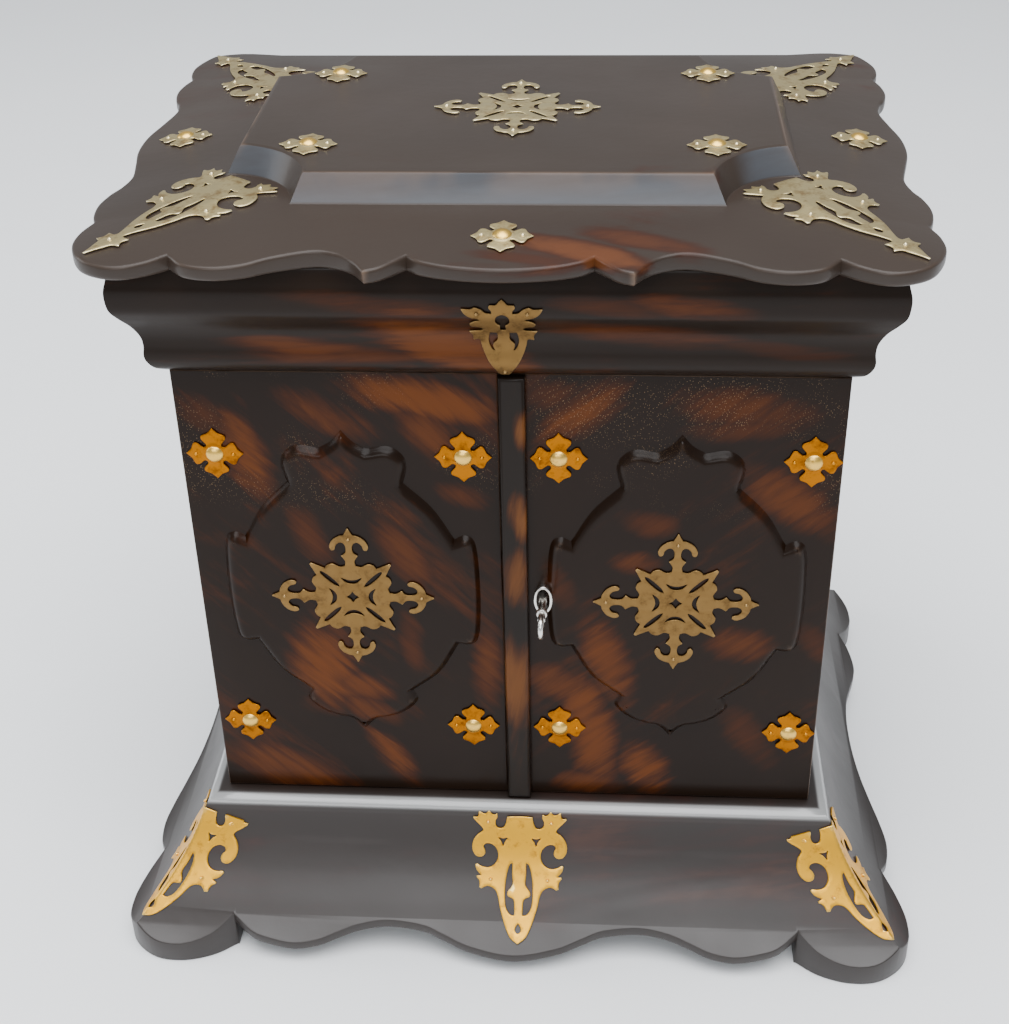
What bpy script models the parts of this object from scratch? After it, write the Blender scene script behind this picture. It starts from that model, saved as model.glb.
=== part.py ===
"""Vanity box: a dark lacquered table cabinet with a scalloped lid over a top well, two doors with raised
cartouches, a flared plinth on four corner feet, and pierced brass mounts. Metres, +Z up, the front faces -Y.
The origin is on the ground, under the middle of the body."""
from math import asin, atan, cos, hypot, pi, radians, sin, sqrt

import bmesh
import bpy
from mathutils import Matrix, Vector

GAP = 0.0003              # between pieces that touch

# Body
BODY_W = 0.290
BODY_D = 0.213            # over the doors' faces
BODY_H = 0.2365           # between plinth and cornice
WALL = 0.008
DOOR_T = 0.010
MEET_X = -0.0037          # the joint between the doors
STRIP_W = 0.0115          # the cover strip, on the right door
STRIP_T = 0.0045
STRIP_ROUND = 0.0018
PIVOT_IN = 0.0030         # a door's pins, in from its outer back edge both ways
PIVOT_R = 0.0013
PIVOT_L = 0.0110
PIVOT_EASE = 0.0020       # the door's outer back edge is cut off by this much, so that it can turn

# Plinth
PLINTH_H = 0.0725
PLINTH_BOARD = 0.0078     # the board that the body stands on
BEAD_OUT = 0.0105         # the rounded shoulder under the doors
BEAD_DROP = 0.0060
BEAD_FLAT = 0.35          # the share of it that stays level
COVE_OUT = 0.0560         # the sweep runs on past its scalloped cut
COVE_FOOT = 0.0095        # its height there
COVE_R = 0.1105
COVE_STEPS = 6
SKIRT_T = 0.0042
FOOT_IN = 0.0055          # how far a foot reaches in past the body's corner
BASE_BACK = 0.0400        # the straight edge at the back, out from the body

# Cornice and lid
CORNICE_H = 0.0547
CORNICE_WALL = 0.0090     # from the body's face in to the well
LID_EDGE = 0.0060
LID_REACH = 0.0330        # where the lid's slopes start, past the scalloped edge
RAMP_RISE = 0.0056
PANEL_INSET = 0.0215      # the raised panel's foot, in from the body's sides
PANEL_RISE = 0.0119
PANEL_RUN = 0.0065        # the bevel round it, in plan
PANEL_LAP = 0.0015        # the slopes run on under its foot
SCOOP_R = 0.0330          # the hollowed corners of the panel
LID_SKIN = 0.0075         # over the hollow under the panel
LID_HOLLOW_IN = 0.0070    # that hollow, in from the edge of the panel's top
LID_BACK = 0.0268         # the straight back edge, out from the body

# Doors
CARTOUCHE_RISE = 0.0035
CARTOUCHE_EDGE = 0.0030
CARTOUCHE_UP = 0.0864     # from its middle to the upper point
CARTOUCHE_DOWN = 0.0818
FACE_MID = 0.0012         # the line that the doors' mounts are set out from
CARTOUCHE_MID = 0.0154    # a cartouche's inner edge from that line
CARTOUCHE_SIDE = 0.0120   # its outer edge in from the body's side
CARTOUCHE_LIFT = 0.0030   # its middle over the middle of the door's height
ROSETTE_MID = 0.0209      # an inner rosette from that line
ROSETTE_SIDE = 0.0141     # an outer one in from the body's side
ROSETTE_FOOT = 0.0432     # a lower one over the plinth
ROSETTE_HEAD = 0.0414     # an upper one under the cornice

# Lid hinges
HINGE_SPAN = 0.180
HINGE_L = 0.026
HINGE_R = 0.0019
LEAF_T = 0.0008
CASE_LEAF = 0.0160
LID_LEAF = 0.0068
KNUCKLE = 0.0100          # the middle one

# Brass mounts
BRASS_T = 0.0007
ROSETTE_R = 0.0128
BOSS_R = 0.0034
BOSS_RISE = 0.0026
MEDALLION_R = 0.0383
LANCE_L = 0.0641
FINIAL_L = 0.0870         # a lance with its finial, on the lid
LID_TIP_X = 0.0221        # that finial's tip, out from the body's corner
LID_TIP_Y = 0.0225
LID_MOUNT_TURN = radians(53.7)
BASE_MOUNT_X = 0.0026
LOCK_H = 0.0547
LID_SIDE_ROSETTE = 0.0090
LID_FRONT_ROSETTE = 0.0050
LID_ROSETTE_Y = 0.0015
PANEL_ROSETTE_X = 0.0361  # in from the raised panel's foot
PANEL_ROSETTE_Y = 0.0370

# Keyhole ring and key
RING_X = 0.0148
RING_DROP = 0.0010        # below the cartouches' middle
RING_W = 0.0088
RING_H = 0.0154
RING_LIP = 0.0014
RING_T = 0.0032
KEY_SHANK_R = 0.0017
KEY_CLEAR = 0.0003        # round the shank, in the door
KEY_RISE = 0.0017         # the shank over the ring's middle
KEY_IN = 0.0045           # how far it goes into the door
KEY_BOW_R = 0.0046
KEY_WIRE_R = 0.0012
KEY_OUT = 0.0250          # from the door's face to the middle of the bow
KEY_COLLAR_R = 0.0027
KEY_COLLAR_OUT = 0.0150
KEY_COLLAR_L = 0.0024

# Places worked out from the sizes
HALF_W = BODY_W / 2
HALF_D = BODY_D / 2
BODY_Z = PLINTH_H
CORNICE_Z = BODY_Z + BODY_H
LID_Z = CORNICE_Z + CORNICE_H + GAP
RIM_Z = LID_Z + LID_EDGE
PANEL_FOOT_Z = RIM_Z + RAMP_RISE
PANEL_Z = PANEL_FOOT_Z + PANEL_RISE
SLOPE = RAMP_RISE / (LID_REACH + PANEL_INSET)
FACE_Y = -HALF_D
DOOR_BACK_Y = FACE_Y + DOOR_T
CASE_FRONT_Y = DOOR_BACK_Y + GAP
CARTOUCHE_HALF_W = (HALF_W - CARTOUCHE_MID - CARTOUCHE_SIDE) / 2
CARTOUCHE_X = CARTOUCHE_MID + CARTOUCHE_HALF_W
CARTOUCHE_Z = BODY_Z + BODY_H / 2 + CARTOUCHE_LIFT
RING_Z = CARTOUCHE_Z - RING_DROP
STRIP_X = MEET_X + GAP / 2 + STRIP_W / 2
PIVOT_X = HALF_W - PIVOT_IN
PIVOT_Y = DOOR_BACK_Y - PIVOT_IN

# The lid's scalloped edge from the middle of the front: (share of the body's half width, overhang)
LID_FRONT = [(0, 0.0307), (0.130, 0.0287), (0.215, 0.0247), (0.256, 0.0200, "corner"), (0.317, 0.0292),
             (0.364, 0.0326, "corner"), (0.405, 0.0240), (0.455, 0.0189), (0.518, 0.0173), (0.621, 0.0224),
             (0.697, 0.0284), (0.780, 0.0308), (0.862, 0.0283)]
# The lobe at its corner, out from the body's corner: (x, y)
LID_LOBE = [(-0.0124, 0.0209, "corner"), (-0.0050, 0.0268), (0.0050, 0.0307), (0.0150, 0.0291),
            (0.0240, 0.0225), (0.0298, 0.0090), (0.0300, -0.0030), (0.0268, -0.0137, "corner")]
# Its side from there to the middle: (share of the body's half depth from the middle, overhang)
LID_SIDE = [(0.790, 0.0295), (0.690, 0.0305), (0.587, 0.0285), (0.510, 0.0253), (0.400, 0.0236),
            (0.250, 0.0262), (0.110, 0.0292), (0, 0.0300)]
# The same for the plinth
BASE_FRONT = [(0, 0.0525), (0.145, 0.0495), (0.241, 0.0450), (0.310, 0.0420), (0.431, 0.0406),
              (0.531, 0.0424), (0.603, 0.0455), (0.676, 0.0489), (0.757, 0.0503), (0.841, 0.0487),
              (0.903, 0.0462)]
BASE_LOBE = [(-0.0045, 0.0400, "corner"), (0.0060, 0.0477), (0.0200, 0.0521), (0.0340, 0.0511),
             (0.0450, 0.0440), (0.0511, 0.0340), (0.0521, 0.0200), (0.0483, 0.0060),
             (0.0420, -0.0060, "corner")]
BASE_SIDE = [(0.850, 0.0464), (0.710, 0.0485), (0.580, 0.0464), (0.446, 0.0425), (0.296, 0.0386),
             (0.140, 0.0365), (0, 0.0360)]
# Half of a cartouche from its upper point down: shares of its half width and of its height
CARTOUCHE = [(0, 1.0, "corner"), (0.080, 0.935), (0.180, 0.893, "corner"), (0.330, 0.910), (0.430, 0.875),
             (0.478, 0.805), (0.445, 0.690, "corner"), (0.655, 0.540), (0.815, 0.350, "corner"), (0.900, 0.375),
             (0.978, 0.310), (1.0, 0.0), (0.978, -0.290), (0.905, -0.355), (0.815, -0.350, "corner"),
             (0.650, -0.560), (0.425, -0.700, "corner"), (0.455, -0.775), (0.350, -0.860), (0.215, -0.905),
             (0.100, -0.925), (0, -1.0, "corner")]
# The cornice from its foot: (out from the body, share of its height)
CORNICE = [(0.0008, 0), (0.0045, 0.049), (0.0068, 0.118), (0.0076, 0.182), (0.0072, 0.265), (0.0078, 0.351),
           (0.0103, 0.455), (0.0140, 0.555), (0.0165, 0.636), (0.0173, 0.727), (0.0172, 0.809), (0.0160, 0.891),
           (0.0145, 1)]
# Half of a lance mount: (out from its axis, down from its head), in mm of a lance 64.1 long
LANCE = [(6.3, 0.4), (7.9, 6.0), (11.4, 5.9), (12.4, 2.7), (11.3, -1.1), (14.8, -2.8), (20.8, -1.9),
         (23.8, 0.2), (17.9, 7.7), (20.9, 10.3), (23.5, 17.9), (21.1, 21.5), (17.1, 20.6), (16.5, 15.2),
         (12.5, 15.7), (10.0, 18.3), (10.1, 23.3), (12.7, 26.3), (22.1, 24.5), (18.2, 32.0), (19.4, 37.9),
         (11.9, 37.6), (9.9, 40.1), (10.0, 44.5), (5.5, 59.2)]
LANCE_HOLES = [[(5.5, 11.2), (8.0, 15.3), (10.4, 11.1)],
               [(3.6, 24.0), (3.3, 32.5), (5.0, 38.8), (2.1, 46.2), (4.2, 50.0), (6.1, 47.1), (6.5, 40.0)]]
LANCE_DROP = [(0, 54.5), (-1.5, 57.4), (0, 58.8), (1.5, 57.4)]
FINIAL = [(2.6, 65.8), (6.7, 69.0), (4.4, 76.0), (2.2, 80.5)]
LANCE_UNIT = LANCE_L / 64.1
# An arm of a medallion from a diagonal leaf to its tip: (along the arm, across), in mm of a radius of 38
MEDALLION = [(16.5, 11.5), (20.2, 8.4), (19.6, 2.8), (23.0, 4.2), (25.6, 2.2), (26.6, 7.7), (31.5, 4.6)]
MEDALLION_LEAF = 19.0
MEDALLION_TIP = 38.0
MEDALLION_SLOT = [(4.4, 3.2), (12.6, 9.6), (13.4, 13.4), (9.6, 12.6), (3.2, 4.4)]
MEDALLION_CRESCENT = [(8.4, 0.0), (10.8, 4.6), (15.4, 5.8), (12.8, 0.0), (15.4, -5.8), (10.8, -4.6)]
MEDALLION_EYE = 2.8
MEDALLION_UNIT = MEDALLION_R / MEDALLION_TIP
# A petal of a rosette, in shares of its radius: (along, across)
PETAL = [(0.281, 0.281), (0.480, 0.390), (0.750, 0.350)]
# Half of the lock plate: (out from its axis, up from the cornice's foot), in mm of a cornice 54.7 high
LOCK = [(2.4, 41.0), (5.2, 40.3), (4.8, 36.5), (9.0, 38.4), (16.3, 38.0), (13.0, 29.8), (10.3, 26.0),
        (14.0, 23.7), (9.8, 20.4), (9.5, 14.5), (6.4, 8.4), (2.4, 3.4)]
LOCK_TIPS = (42.4, 1.4)
LOCK_KEYHOLE = [(1.1, 26.2), (1.1, 29.0), (2.4, 30.6), (2.4, 33.4)]
LOCK_KEYHOLE_TOP = 35.4
LOCK_SLOT = [(3.0, 24.0), (5.7, 24.0), (6.0, 19.4), (4.0, 15.8)]
LOCK_UNIT = LOCK_H / 54.7

for old in list(bpy.data.objects):
    bpy.data.objects.remove(old, do_unlink=True)
PARTS = bpy.data.collections.new("vanity_box")
CUTTERS = bpy.data.collections.new("cutters")
bpy.context.scene.collection.children.link(PARTS)
bpy.context.scene.collection.children.link(CUTTERS)


def material(name, colour, roughness, metallic=0.0):
    made = bpy.data.materials.new(name)
    made.use_nodes = True
    shader = made.node_tree.nodes["Principled BSDF"]
    shader.inputs["Base Color"].default_value = (*colour, 1.0)
    shader.inputs["Roughness"].default_value = roughness
    shader.inputs["Metallic"].default_value = metallic
    made.diffuse_color = (*colour, 1.0)
    return made


def add_piece(name, mesh, finish):
    piece = bpy.data.objects.new(name, mesh)
    PARTS.objects.link(piece)
    mesh.materials.clear()
    mesh.materials.append(finish)
    return piece


def add_cutter(name, mesh):
    cutter = bpy.data.objects.new(name, mesh)
    CUTTERS.objects.link(cutter)
    cutter.hide_render = True
    cutter.display_type = "WIRE"
    return cutter


def combine(piece, operation, *others):
    """Cuts the others out of the piece, joins them to it, or keeps what they share."""
    for other in others:
        step = piece.modifiers.new(other.name, "BOOLEAN")
        step.operation = operation
        step.object = other


def bake(source):
    """The evaluated mesh of an object, welded, as a mesh of its own. The object goes."""
    bpy.context.view_layer.update()
    graph = bpy.context.evaluated_depsgraph_get()
    mesh = bpy.data.meshes.new_from_object(source.evaluated_get(graph))
    mesh.transform(source.matrix_world)
    bm = bmesh.new()
    bm.from_mesh(mesh)
    bmesh.ops.remove_doubles(bm, verts=bm.verts, dist=1e-6)
    bmesh.ops.recalc_face_normals(bm, faces=bm.faces)
    bm.to_mesh(mesh)
    bm.free()
    bpy.data.objects.remove(source, do_unlink=True)
    return mesh


def plate(loops, thickness, low=0.0):
    """A flat plate from closed outlines in x and y, where inner ones are holes. It stands up from z = low."""
    curve = bpy.data.curves.new("outline", "CURVE")
    curve.dimensions = "2D"
    curve.fill_mode = "BOTH"
    curve.render_resolution_u = 0
    curve.extrude = thickness / 2
    for loop in loops:
        spline = curve.splines.new("POLY")
        spline.points.add(len(loop) - 1)
        for point, (x, y) in zip(spline.points, loop):
            point.co = (x, y, 0, 1)
        spline.use_cyclic_u = True
    mesh = bake(add_cutter("outline", curve))
    mesh.transform(Matrix.Translation((0, 0, low + thickness / 2)))
    return mesh


def from_bmesh(bm, name):
    bmesh.ops.recalc_face_normals(bm, faces=bm.faces)
    mesh = bpy.data.meshes.new(name)
    bm.to_mesh(mesh)
    bm.free()
    return mesh


def box(low, high):
    bm = bmesh.new()
    bmesh.ops.create_cube(bm, size=1.0)
    middle = [(a + b) / 2 for a, b in zip(low, high)]
    size = [b - a for a, b in zip(low, high)]
    bmesh.ops.transform(bm, matrix=Matrix.Translation(middle) @ Matrix.Diagonal((*size, 1)), verts=bm.verts)
    return from_bmesh(bm, "box")


def cylinder(radius, length, place, sides=12, top=None):
    """A cylinder, or a cone with a top radius, about z through its place, which is its middle."""
    bm = bmesh.new()
    bmesh.ops.create_cone(bm, cap_ends=True, segments=sides, radius1=radius,
                          radius2=radius if top is None else top, depth=length)
    bmesh.ops.translate(bm, vec=place, verts=bm.verts)
    return from_bmesh(bm, "cylinder")


def loft(rings, closed=False):
    """Joins rings of as many points each. Closed, the last ring meets the first, or else both ends are capped."""
    bm = bmesh.new()
    rows = [[bm.verts.new(p) for p in ring] for ring in rings]
    pairs = list(zip(rows, rows[1:] + rows[:1])) if closed else list(zip(rows, rows[1:]))
    for lower, upper in pairs:
        for k in range(len(lower)):
            n = (k + 1) % len(lower)
            bm.faces.new((lower[k], lower[n], upper[n], upper[k]))
    if not closed:
        bm.faces.new(rows[0])
        bm.faces.new(rows[-1])
    return from_bmesh(bm, "loft")


def mitred(profile):
    """Rectangles round the body, mitred at its corners, from (out from the body, height)."""
    corners = [(-1, -1), (1, -1), (1, 1), (-1, 1)]
    return [[(sx * (HALF_W + out), sy * (HALF_D + out), z) for sx, sy in corners] for out, z in profile]


def smooth_run(points, steps):
    """A Catmull-Rom curve through the points, without the last of them."""
    before = [2 * a - b for a, b in zip(points[0], points[1])]
    after = [2 * a - b for a, b in zip(points[-1], points[-2])]
    ends = [before, *points, after]
    run = []
    for p0, p1, p2, p3 in zip(ends, ends[1:], ends[2:], ends[3:]):
        for k in range(steps):
            t = k / steps
            run.append(tuple(
                b + 0.5 * t * (c - a + t * (2 * a - 5 * b + 4 * c - d + t * (3 * (b - c) + d - a)))
                for a, b, c, d in zip(p0, p1, p2, p3)))
    return run


def trace(points, steps):
    """A closed outline through points, smooth except at those marked as corners, of which one is needed."""
    start = next(k for k, p in enumerate(points) if len(p) > 2)
    turned = points[start:] + points[:start + 1]
    marks = [k for k, p in enumerate(turned) if len(p) > 2]
    plain = [p[:2] for p in turned]
    return [p for a, b in zip(marks, marks[1:]) for p in smooth_run(plain[a:b + 1], steps)]


def mirrored(half):
    """A whole outline from its half at x > 0. Points on the axis aren't doubled."""
    return list(half) + [(-p[0], *p[1:]) for p in reversed(half) if p[0] > 0]


def scalloped(front, lobe, side, back, steps):
    """The outline of the lid or of the plinth, straight at the back between its corner lobes."""
    half = [(share * HALF_W, -HALF_D - out, *rest) for share, out, *rest in front]
    half += [(HALF_W + x, -HALF_D - y, *rest) for x, y, *rest in lobe]
    half += [(HALF_W + out, -share * HALF_D) for share, out in side]
    half += [(HALF_W + out, share * HALF_D) for share, out in reversed(side[:-1])]
    half += [(HALF_W + x, HALF_D + y, *rest) for x, y, *rest in reversed(lobe) if x > 0 or y > back]
    half.append((HALF_W + lobe[0][0], HALF_D + back, "corner"))
    return trace(mirrored(half), steps)


def mirror_mesh(mesh, across_x=False, across_y=False):
    """A mirrored copy, with its faces turned to look out again."""
    copy = mesh.copy()
    copy.transform(Matrix.Diagonal((-1 if across_x else 1, -1 if across_y else 1, 1, 1)))
    if across_x != across_y:
        copy.flip_normals()
    return copy


def bend(mesh, cuts, place):
    """Splits a flat plate along planes (point, normal) and moves each point to place(x, y, z)."""
    bm = bmesh.new()
    bm.from_mesh(mesh)
    for point, normal in cuts:
        bmesh.ops.bisect_plane(bm, geom=bm.verts[:] + bm.edges[:] + bm.faces[:], dist=1e-7,
                               plane_co=point, plane_no=normal)
    bmesh.ops.triangulate(bm, faces=bm.faces)
    for v in bm.verts:
        v.co = place(*v.co)
    if bm.calc_volume(signed=True) < 0:
        bmesh.ops.reverse_faces(bm, faces=bm.faces)
    bm.to_mesh(mesh)
    bm.free()
    return mesh


def smooth(piece, angle=40):
    piece.data.shade_smooth()
    piece.data.set_sharp_from_angle(angle=radians(angle))
    return piece


lacquer = material("dark_lacquer", (0.035, 0.018, 0.011), 0.30)
door_lacquer = material("mottled_lacquer", (0.075, 0.030, 0.012), 0.32)
lid_lacquer = material("lid_lacquer", (0.050, 0.030, 0.022), 0.32)
bare_wood = material("inner_wood", (0.120, 0.065, 0.035), 0.60)
brass = material("brass", (0.72, 0.50, 0.19), 0.30, 1.0)
aged_brass = material("aged_brass", (0.42, 0.29, 0.14), 0.42, 1.0)
pale_brass = material("pale_brass", (0.78, 0.66, 0.40), 0.28, 1.0)
nickel = material("key_metal", (0.62, 0.60, 0.56), 0.28, 1.0)
hinge_brass = material("hinge_brass", (0.50, 0.36, 0.16), 0.40, 1.0)

# Pins that the doors turn on, in holes through the door's end and into the plinth's board or the cornice
pins = {}
holes = {}
for side, sign in (("left", -1), ("right", 1)):
    for level, z in (("lower", BODY_Z), ("upper", CORNICE_Z)):
        spot = (sign * PIVOT_X, PIVOT_Y, z)
        pin = cylinder(PIVOT_R, PIVOT_L, spot)
        pins[side, level] = smooth(add_piece(f"{side}_door_pin_{level}", pin, hinge_brass))
        holes[side, level] = add_cutter(f"{side}_{level}_pin_hole",
                                        cylinder(PIVOT_R + GAP, PIVOT_L + 2 * GAP, spot))

# Carcase: a box with an open front, whose top is the floor of the well under the lid
carcase = add_piece("carcase", box((-HALF_W, CASE_FRONT_Y, BODY_Z), (HALF_W, HALF_D, CORNICE_Z)), bare_wood)
cupboard = box((WALL - HALF_W, CASE_FRONT_Y - WALL, BODY_Z + WALL),
               (HALF_W - WALL, HALF_D - WALL, CORNICE_Z - WALL))
combine(carcase, "DIFFERENCE", add_cutter("cupboard", cupboard))

# Cornice: a moulded frame round the well
cornice_foot = CORNICE_Z + GAP
cornice_line = [(out, cornice_foot + share * (CORNICE_H - GAP)) for out, share in CORNICE]
well_line = [(-CORNICE_WALL, CORNICE_Z + CORNICE_H), (-CORNICE_WALL, cornice_foot)]
cornice = smooth(add_piece("cornice", loft(mitred(cornice_line + well_line), closed=True), lacquer), 30)
combine(cornice, "DIFFERENCE", holes["left", "upper"], holes["right", "upper"])

# Plinth: the sweep is an arc between the shoulder and its foot, about a centre out and up from them
shoulder_z = PLINTH_H - BEAD_DROP - GAP
drop = shoulder_z - COVE_FOOT
run_out = COVE_OUT - BEAD_OUT
chord = hypot(drop, run_out)
reach = sqrt(COVE_R ** 2 - chord ** 2 / 4)
arc_out = (BEAD_OUT + COVE_OUT) / 2 + reach * drop / chord
arc_z = (shoulder_z + COVE_FOOT) / 2 + reach * run_out / chord
arc_from = asin((arc_z - shoulder_z) / COVE_R)
arc_to = asin((arc_z - COVE_FOOT) / COVE_R)


def sweep(share, inset=0.0):
    """A point of the plinth's sweep, (out, height), at a share of its length and so far under its face."""
    angle = arc_from + (arc_to - arc_from) * share
    return arc_out - (COVE_R + inset) * cos(angle), arc_z - (COVE_R + inset) * sin(angle)


def sweep_at(height, inset):
    """How far out the sweep is at a height."""
    return arc_out - sqrt((COVE_R + inset) ** 2 - (arc_z - height) ** 2)


steps = [k / COVE_STEPS for k in range(COVE_STEPS + 1)]
bead_top = PLINTH_H - GAP
bead = [(BEAD_OUT * (BEAD_FLAT + (1 - BEAD_FLAT) * sin(a)), bead_top - BEAD_DROP * (1 - cos(a)))
        for a in (0, pi / 6, pi / 3)]
board_z = bead_top - PLINTH_BOARD
under = [sweep(share, SKIRT_T) for share in reversed(steps[1:])] + [(sweep_at(board_z, SKIRT_T), board_z)]
plinth = smooth(add_piece("plinth", loft(mitred(bead + [sweep(s) for s in steps] + under)), lacquer), 30)
core = [sweep(s, SKIRT_T / 3) for s in steps]
core.append((core[-1][0], 0.0))
feet = add_cutter("feet", loft(mitred(core)))
far = HALF_W + COVE_OUT * 2
for name, half_x, half_y in (("front_to_back", HALF_W - FOOT_IN, far),
                             ("side_to_side", far, HALF_D - FOOT_IN)):
    arch = add_cutter(name, box((-half_x, -half_y, -PLINTH_H), (half_x, half_y, PLINTH_H)))
    combine(feet, "DIFFERENCE", arch)
base_edge = add_cutter("base_edge", plate([scalloped(BASE_FRONT, BASE_LOBE, BASE_SIDE, BASE_BACK, 2)],
                                          3 * PLINTH_H, -PLINTH_H))
combine(plinth, "UNION", feet)
combine(plinth, "INTERSECT", base_edge)
combine(plinth, "DIFFERENCE", holes["left", "lower"], holes["right", "lower"])


# Lid: a board with a scalloped edge that rises in low slopes to a panel with hollowed corners
def scooped(inset, z, arc_steps=4):
    """The panel's outline at a distance in from its foot."""
    radius = SCOOP_R + inset
    turn = asin(inset / radius)
    quarter = []
    for k in range(arc_steps + 1):
        angle = turn + (pi / 2 - 2 * turn) * k / arc_steps
        quarter.append((HALF_W - PANEL_INSET - radius * sin(angle), HALF_D - PANEL_INSET - radius * cos(angle)))
    quarter.reverse()
    ring = [(x, -y, z) for x, y in quarter]
    ring += [(x, y, z) for x, y in reversed(quarter)]
    return ring + [(-x, -y, z) for x, y, _ in ring]


roof = [(LID_REACH, LID_Z), (LID_REACH, RIM_Z), (-PANEL_INSET - PANEL_LAP, PANEL_FOOT_Z + SLOPE * PANEL_LAP)]
lid = smooth(add_piece("lid", loft(mitred(roof)), lid_lacquer), 25)
lid_edge = plate([scalloped(LID_FRONT, LID_LOBE, LID_SIDE, LID_BACK, 2)], 5 * LID_EDGE, LID_Z - LID_EDGE)
combine(lid, "INTERSECT", add_cutter("lid_edge", lid_edge))
panel = loft([scooped(0, LID_Z + LID_EDGE / 2), scooped(0, PANEL_FOOT_Z), scooped(PANEL_RUN, PANEL_Z)])
combine(lid, "UNION", add_cutter("raised_panel", panel))
hollow_in = PANEL_RUN + LID_HOLLOW_IN
hollow = loft([scooped(hollow_in, LID_Z - LID_EDGE), scooped(hollow_in, PANEL_Z - LID_SKIN)])
combine(lid, "DIFFERENCE", add_cutter("lid_hollow", hollow))

# Doors: boards whose outer back edge is eased for the pins, each with a raised cartouche
door_low = BODY_Z + GAP
door_h = BODY_H - 2 * GAP
door_outline = {
    "left": [(-HALF_W, FACE_Y), (MEET_X - GAP / 2, FACE_Y), (MEET_X - GAP / 2, DOOR_BACK_Y),
             (-HALF_W + PIVOT_EASE, DOOR_BACK_Y), (-HALF_W, DOOR_BACK_Y - PIVOT_EASE)],
    "right": [(HALF_W, FACE_Y), (HALF_W, DOOR_BACK_Y - PIVOT_EASE), (HALF_W - PIVOT_EASE, DOOR_BACK_Y),
              (MEET_X + GAP / 2, DOOR_BACK_Y), (MEET_X + GAP / 2, FACE_Y)]}
cartouche_line = trace(mirrored(CARTOUCHE), 1)


def cartouche_ring(middle_x, y, inset):
    """The cartouche's outline at a distance in from its foot."""
    wide = CARTOUCHE_HALF_W - inset
    ring = []
    for x, z in cartouche_line:
        tall = (CARTOUCHE_UP if z > 0 else CARTOUCHE_DOWN) - inset
        ring.append((middle_x + x * wide, y, CARTOUCHE_Z + z * tall))
    return ring


key_spot = (RING_X, FACE_Y, RING_Z + KEY_RISE)
lying = Matrix.Rotation(pi / 2, 4, "X")
doors = {}
for side, sign in (("left", -1), ("right", 1)):
    door = add_piece(f"{side}_door", plate([door_outline[side]], door_h, door_low), door_lacquer)
    middle = FACE_MID + sign * CARTOUCHE_X
    raised = loft([cartouche_ring(middle, FACE_Y + DOOR_T / 4, 0), cartouche_ring(middle, FACE_Y, 0),
                   cartouche_ring(middle, FACE_Y - CARTOUCHE_RISE, CARTOUCHE_EDGE)])
    combine(door, "UNION", add_cutter(f"{side}_cartouche", raised))
    combine(door, "DIFFERENCE", holes[side, "lower"], holes[side, "upper"])
    doors[side] = door
key_hole = cylinder(KEY_SHANK_R + KEY_CLEAR, 2 * (KEY_IN + KEY_CLEAR), (0, 0, 0))
key_hole.transform(Matrix.Translation(key_spot) @ lying)
combine(doors["right"], "DIFFERENCE", add_cutter("key_hole", key_hole))

# Cover strip over the joint between the doors, with rounded front edges
corner = [(STRIP_W / 2 - STRIP_ROUND * (1 - cos(a)), STRIP_T - STRIP_ROUND * (1 - sin(a)))
          for a in (0, pi / 6, pi / 3, pi / 2)]
strip_line = [(STRIP_W / 2, 0)] + corner
strip_loop = [(STRIP_X + x, FACE_Y - GAP - y) for x, y in mirrored(strip_line)]
strip = smooth(add_piece("cover_strip", plate([strip_loop], door_h, door_low), lacquer))

# Keyhole ring, let in to the door and to the cartouche's edge, and the key in it
ring_at = Matrix.Translation((RING_X, FACE_Y, RING_Z)) @ lying


def oval(width, height, sides=14):
    return [(width / 2 * cos(2 * pi * k / sides), height / 2 * sin(2 * pi * k / sides)) for k in range(sides)]


ring_seat = plate([oval(RING_W + 2 * GAP, RING_H + 2 * GAP)], 2 * CARTOUCHE_RISE, -GAP)
ring_seat.transform(ring_at)
combine(doors["right"], "DIFFERENCE", add_cutter("ring_seat", ring_seat))
ring_mesh = plate([oval(RING_W, RING_H), oval(RING_W - 2 * RING_LIP, RING_H - 2 * RING_LIP)], RING_T)
ring_mesh.transform(ring_at)
keyhole_ring = smooth(add_piece("keyhole_ring", ring_mesh, nickel))
bpy.ops.mesh.primitive_torus_add(major_radius=KEY_BOW_R, minor_radius=KEY_WIRE_R, major_segments=12,
                                 minor_segments=5, rotation=(0, pi / 2, 0))
bow = bake(bpy.context.object)
bow.transform(Matrix.Translation((0, -KEY_OUT, 0)))
shank_end = KEY_OUT - KEY_BOW_R
shank = cylinder(KEY_SHANK_R, shank_end + KEY_IN, (0, 0, (shank_end - KEY_IN) / 2), 10)
shank.transform(lying)
collar = cylinder(KEY_COLLAR_R, KEY_COLLAR_L, (0, 0, KEY_COLLAR_OUT), 10)
collar.transform(lying)
key = add_piece("key", shank, nickel)
key_parts = [add_cutter("key_bow", bow), add_cutter("key_collar", collar)]
for piece in [key, *key_parts]:
    piece.data.transform(Matrix.Translation(key_spot))
combine(key, "UNION", *key_parts)
smooth(key)

# Rosettes: four petals round a boss
petal = [(along, -across) for along, across in PETAL] + [(1.0, 0.0)]
petal += [(along, across) for along, across in reversed(PETAL[1:])]
rosette_line = []
for k in range(4):
    c, s = (1, 0, -1, 0)[k], (0, 1, 0, -1)[k]
    rosette_line += [(ROSETTE_R * (c * x - s * y), ROSETTE_R * (s * x + c * y)) for x, y in petal]
base = add_cutter("petals", plate([rosette_line], BRASS_T, GAP))
boss_low = GAP + BRASS_T / 2
boss = add_cutter("boss", cylinder(BOSS_R, BOSS_RISE, (0, 0, boss_low + BOSS_RISE / 2), 6, BOSS_R / 2))
combine(base, "UNION", boss)
rosette_mesh = bake(base)


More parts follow.
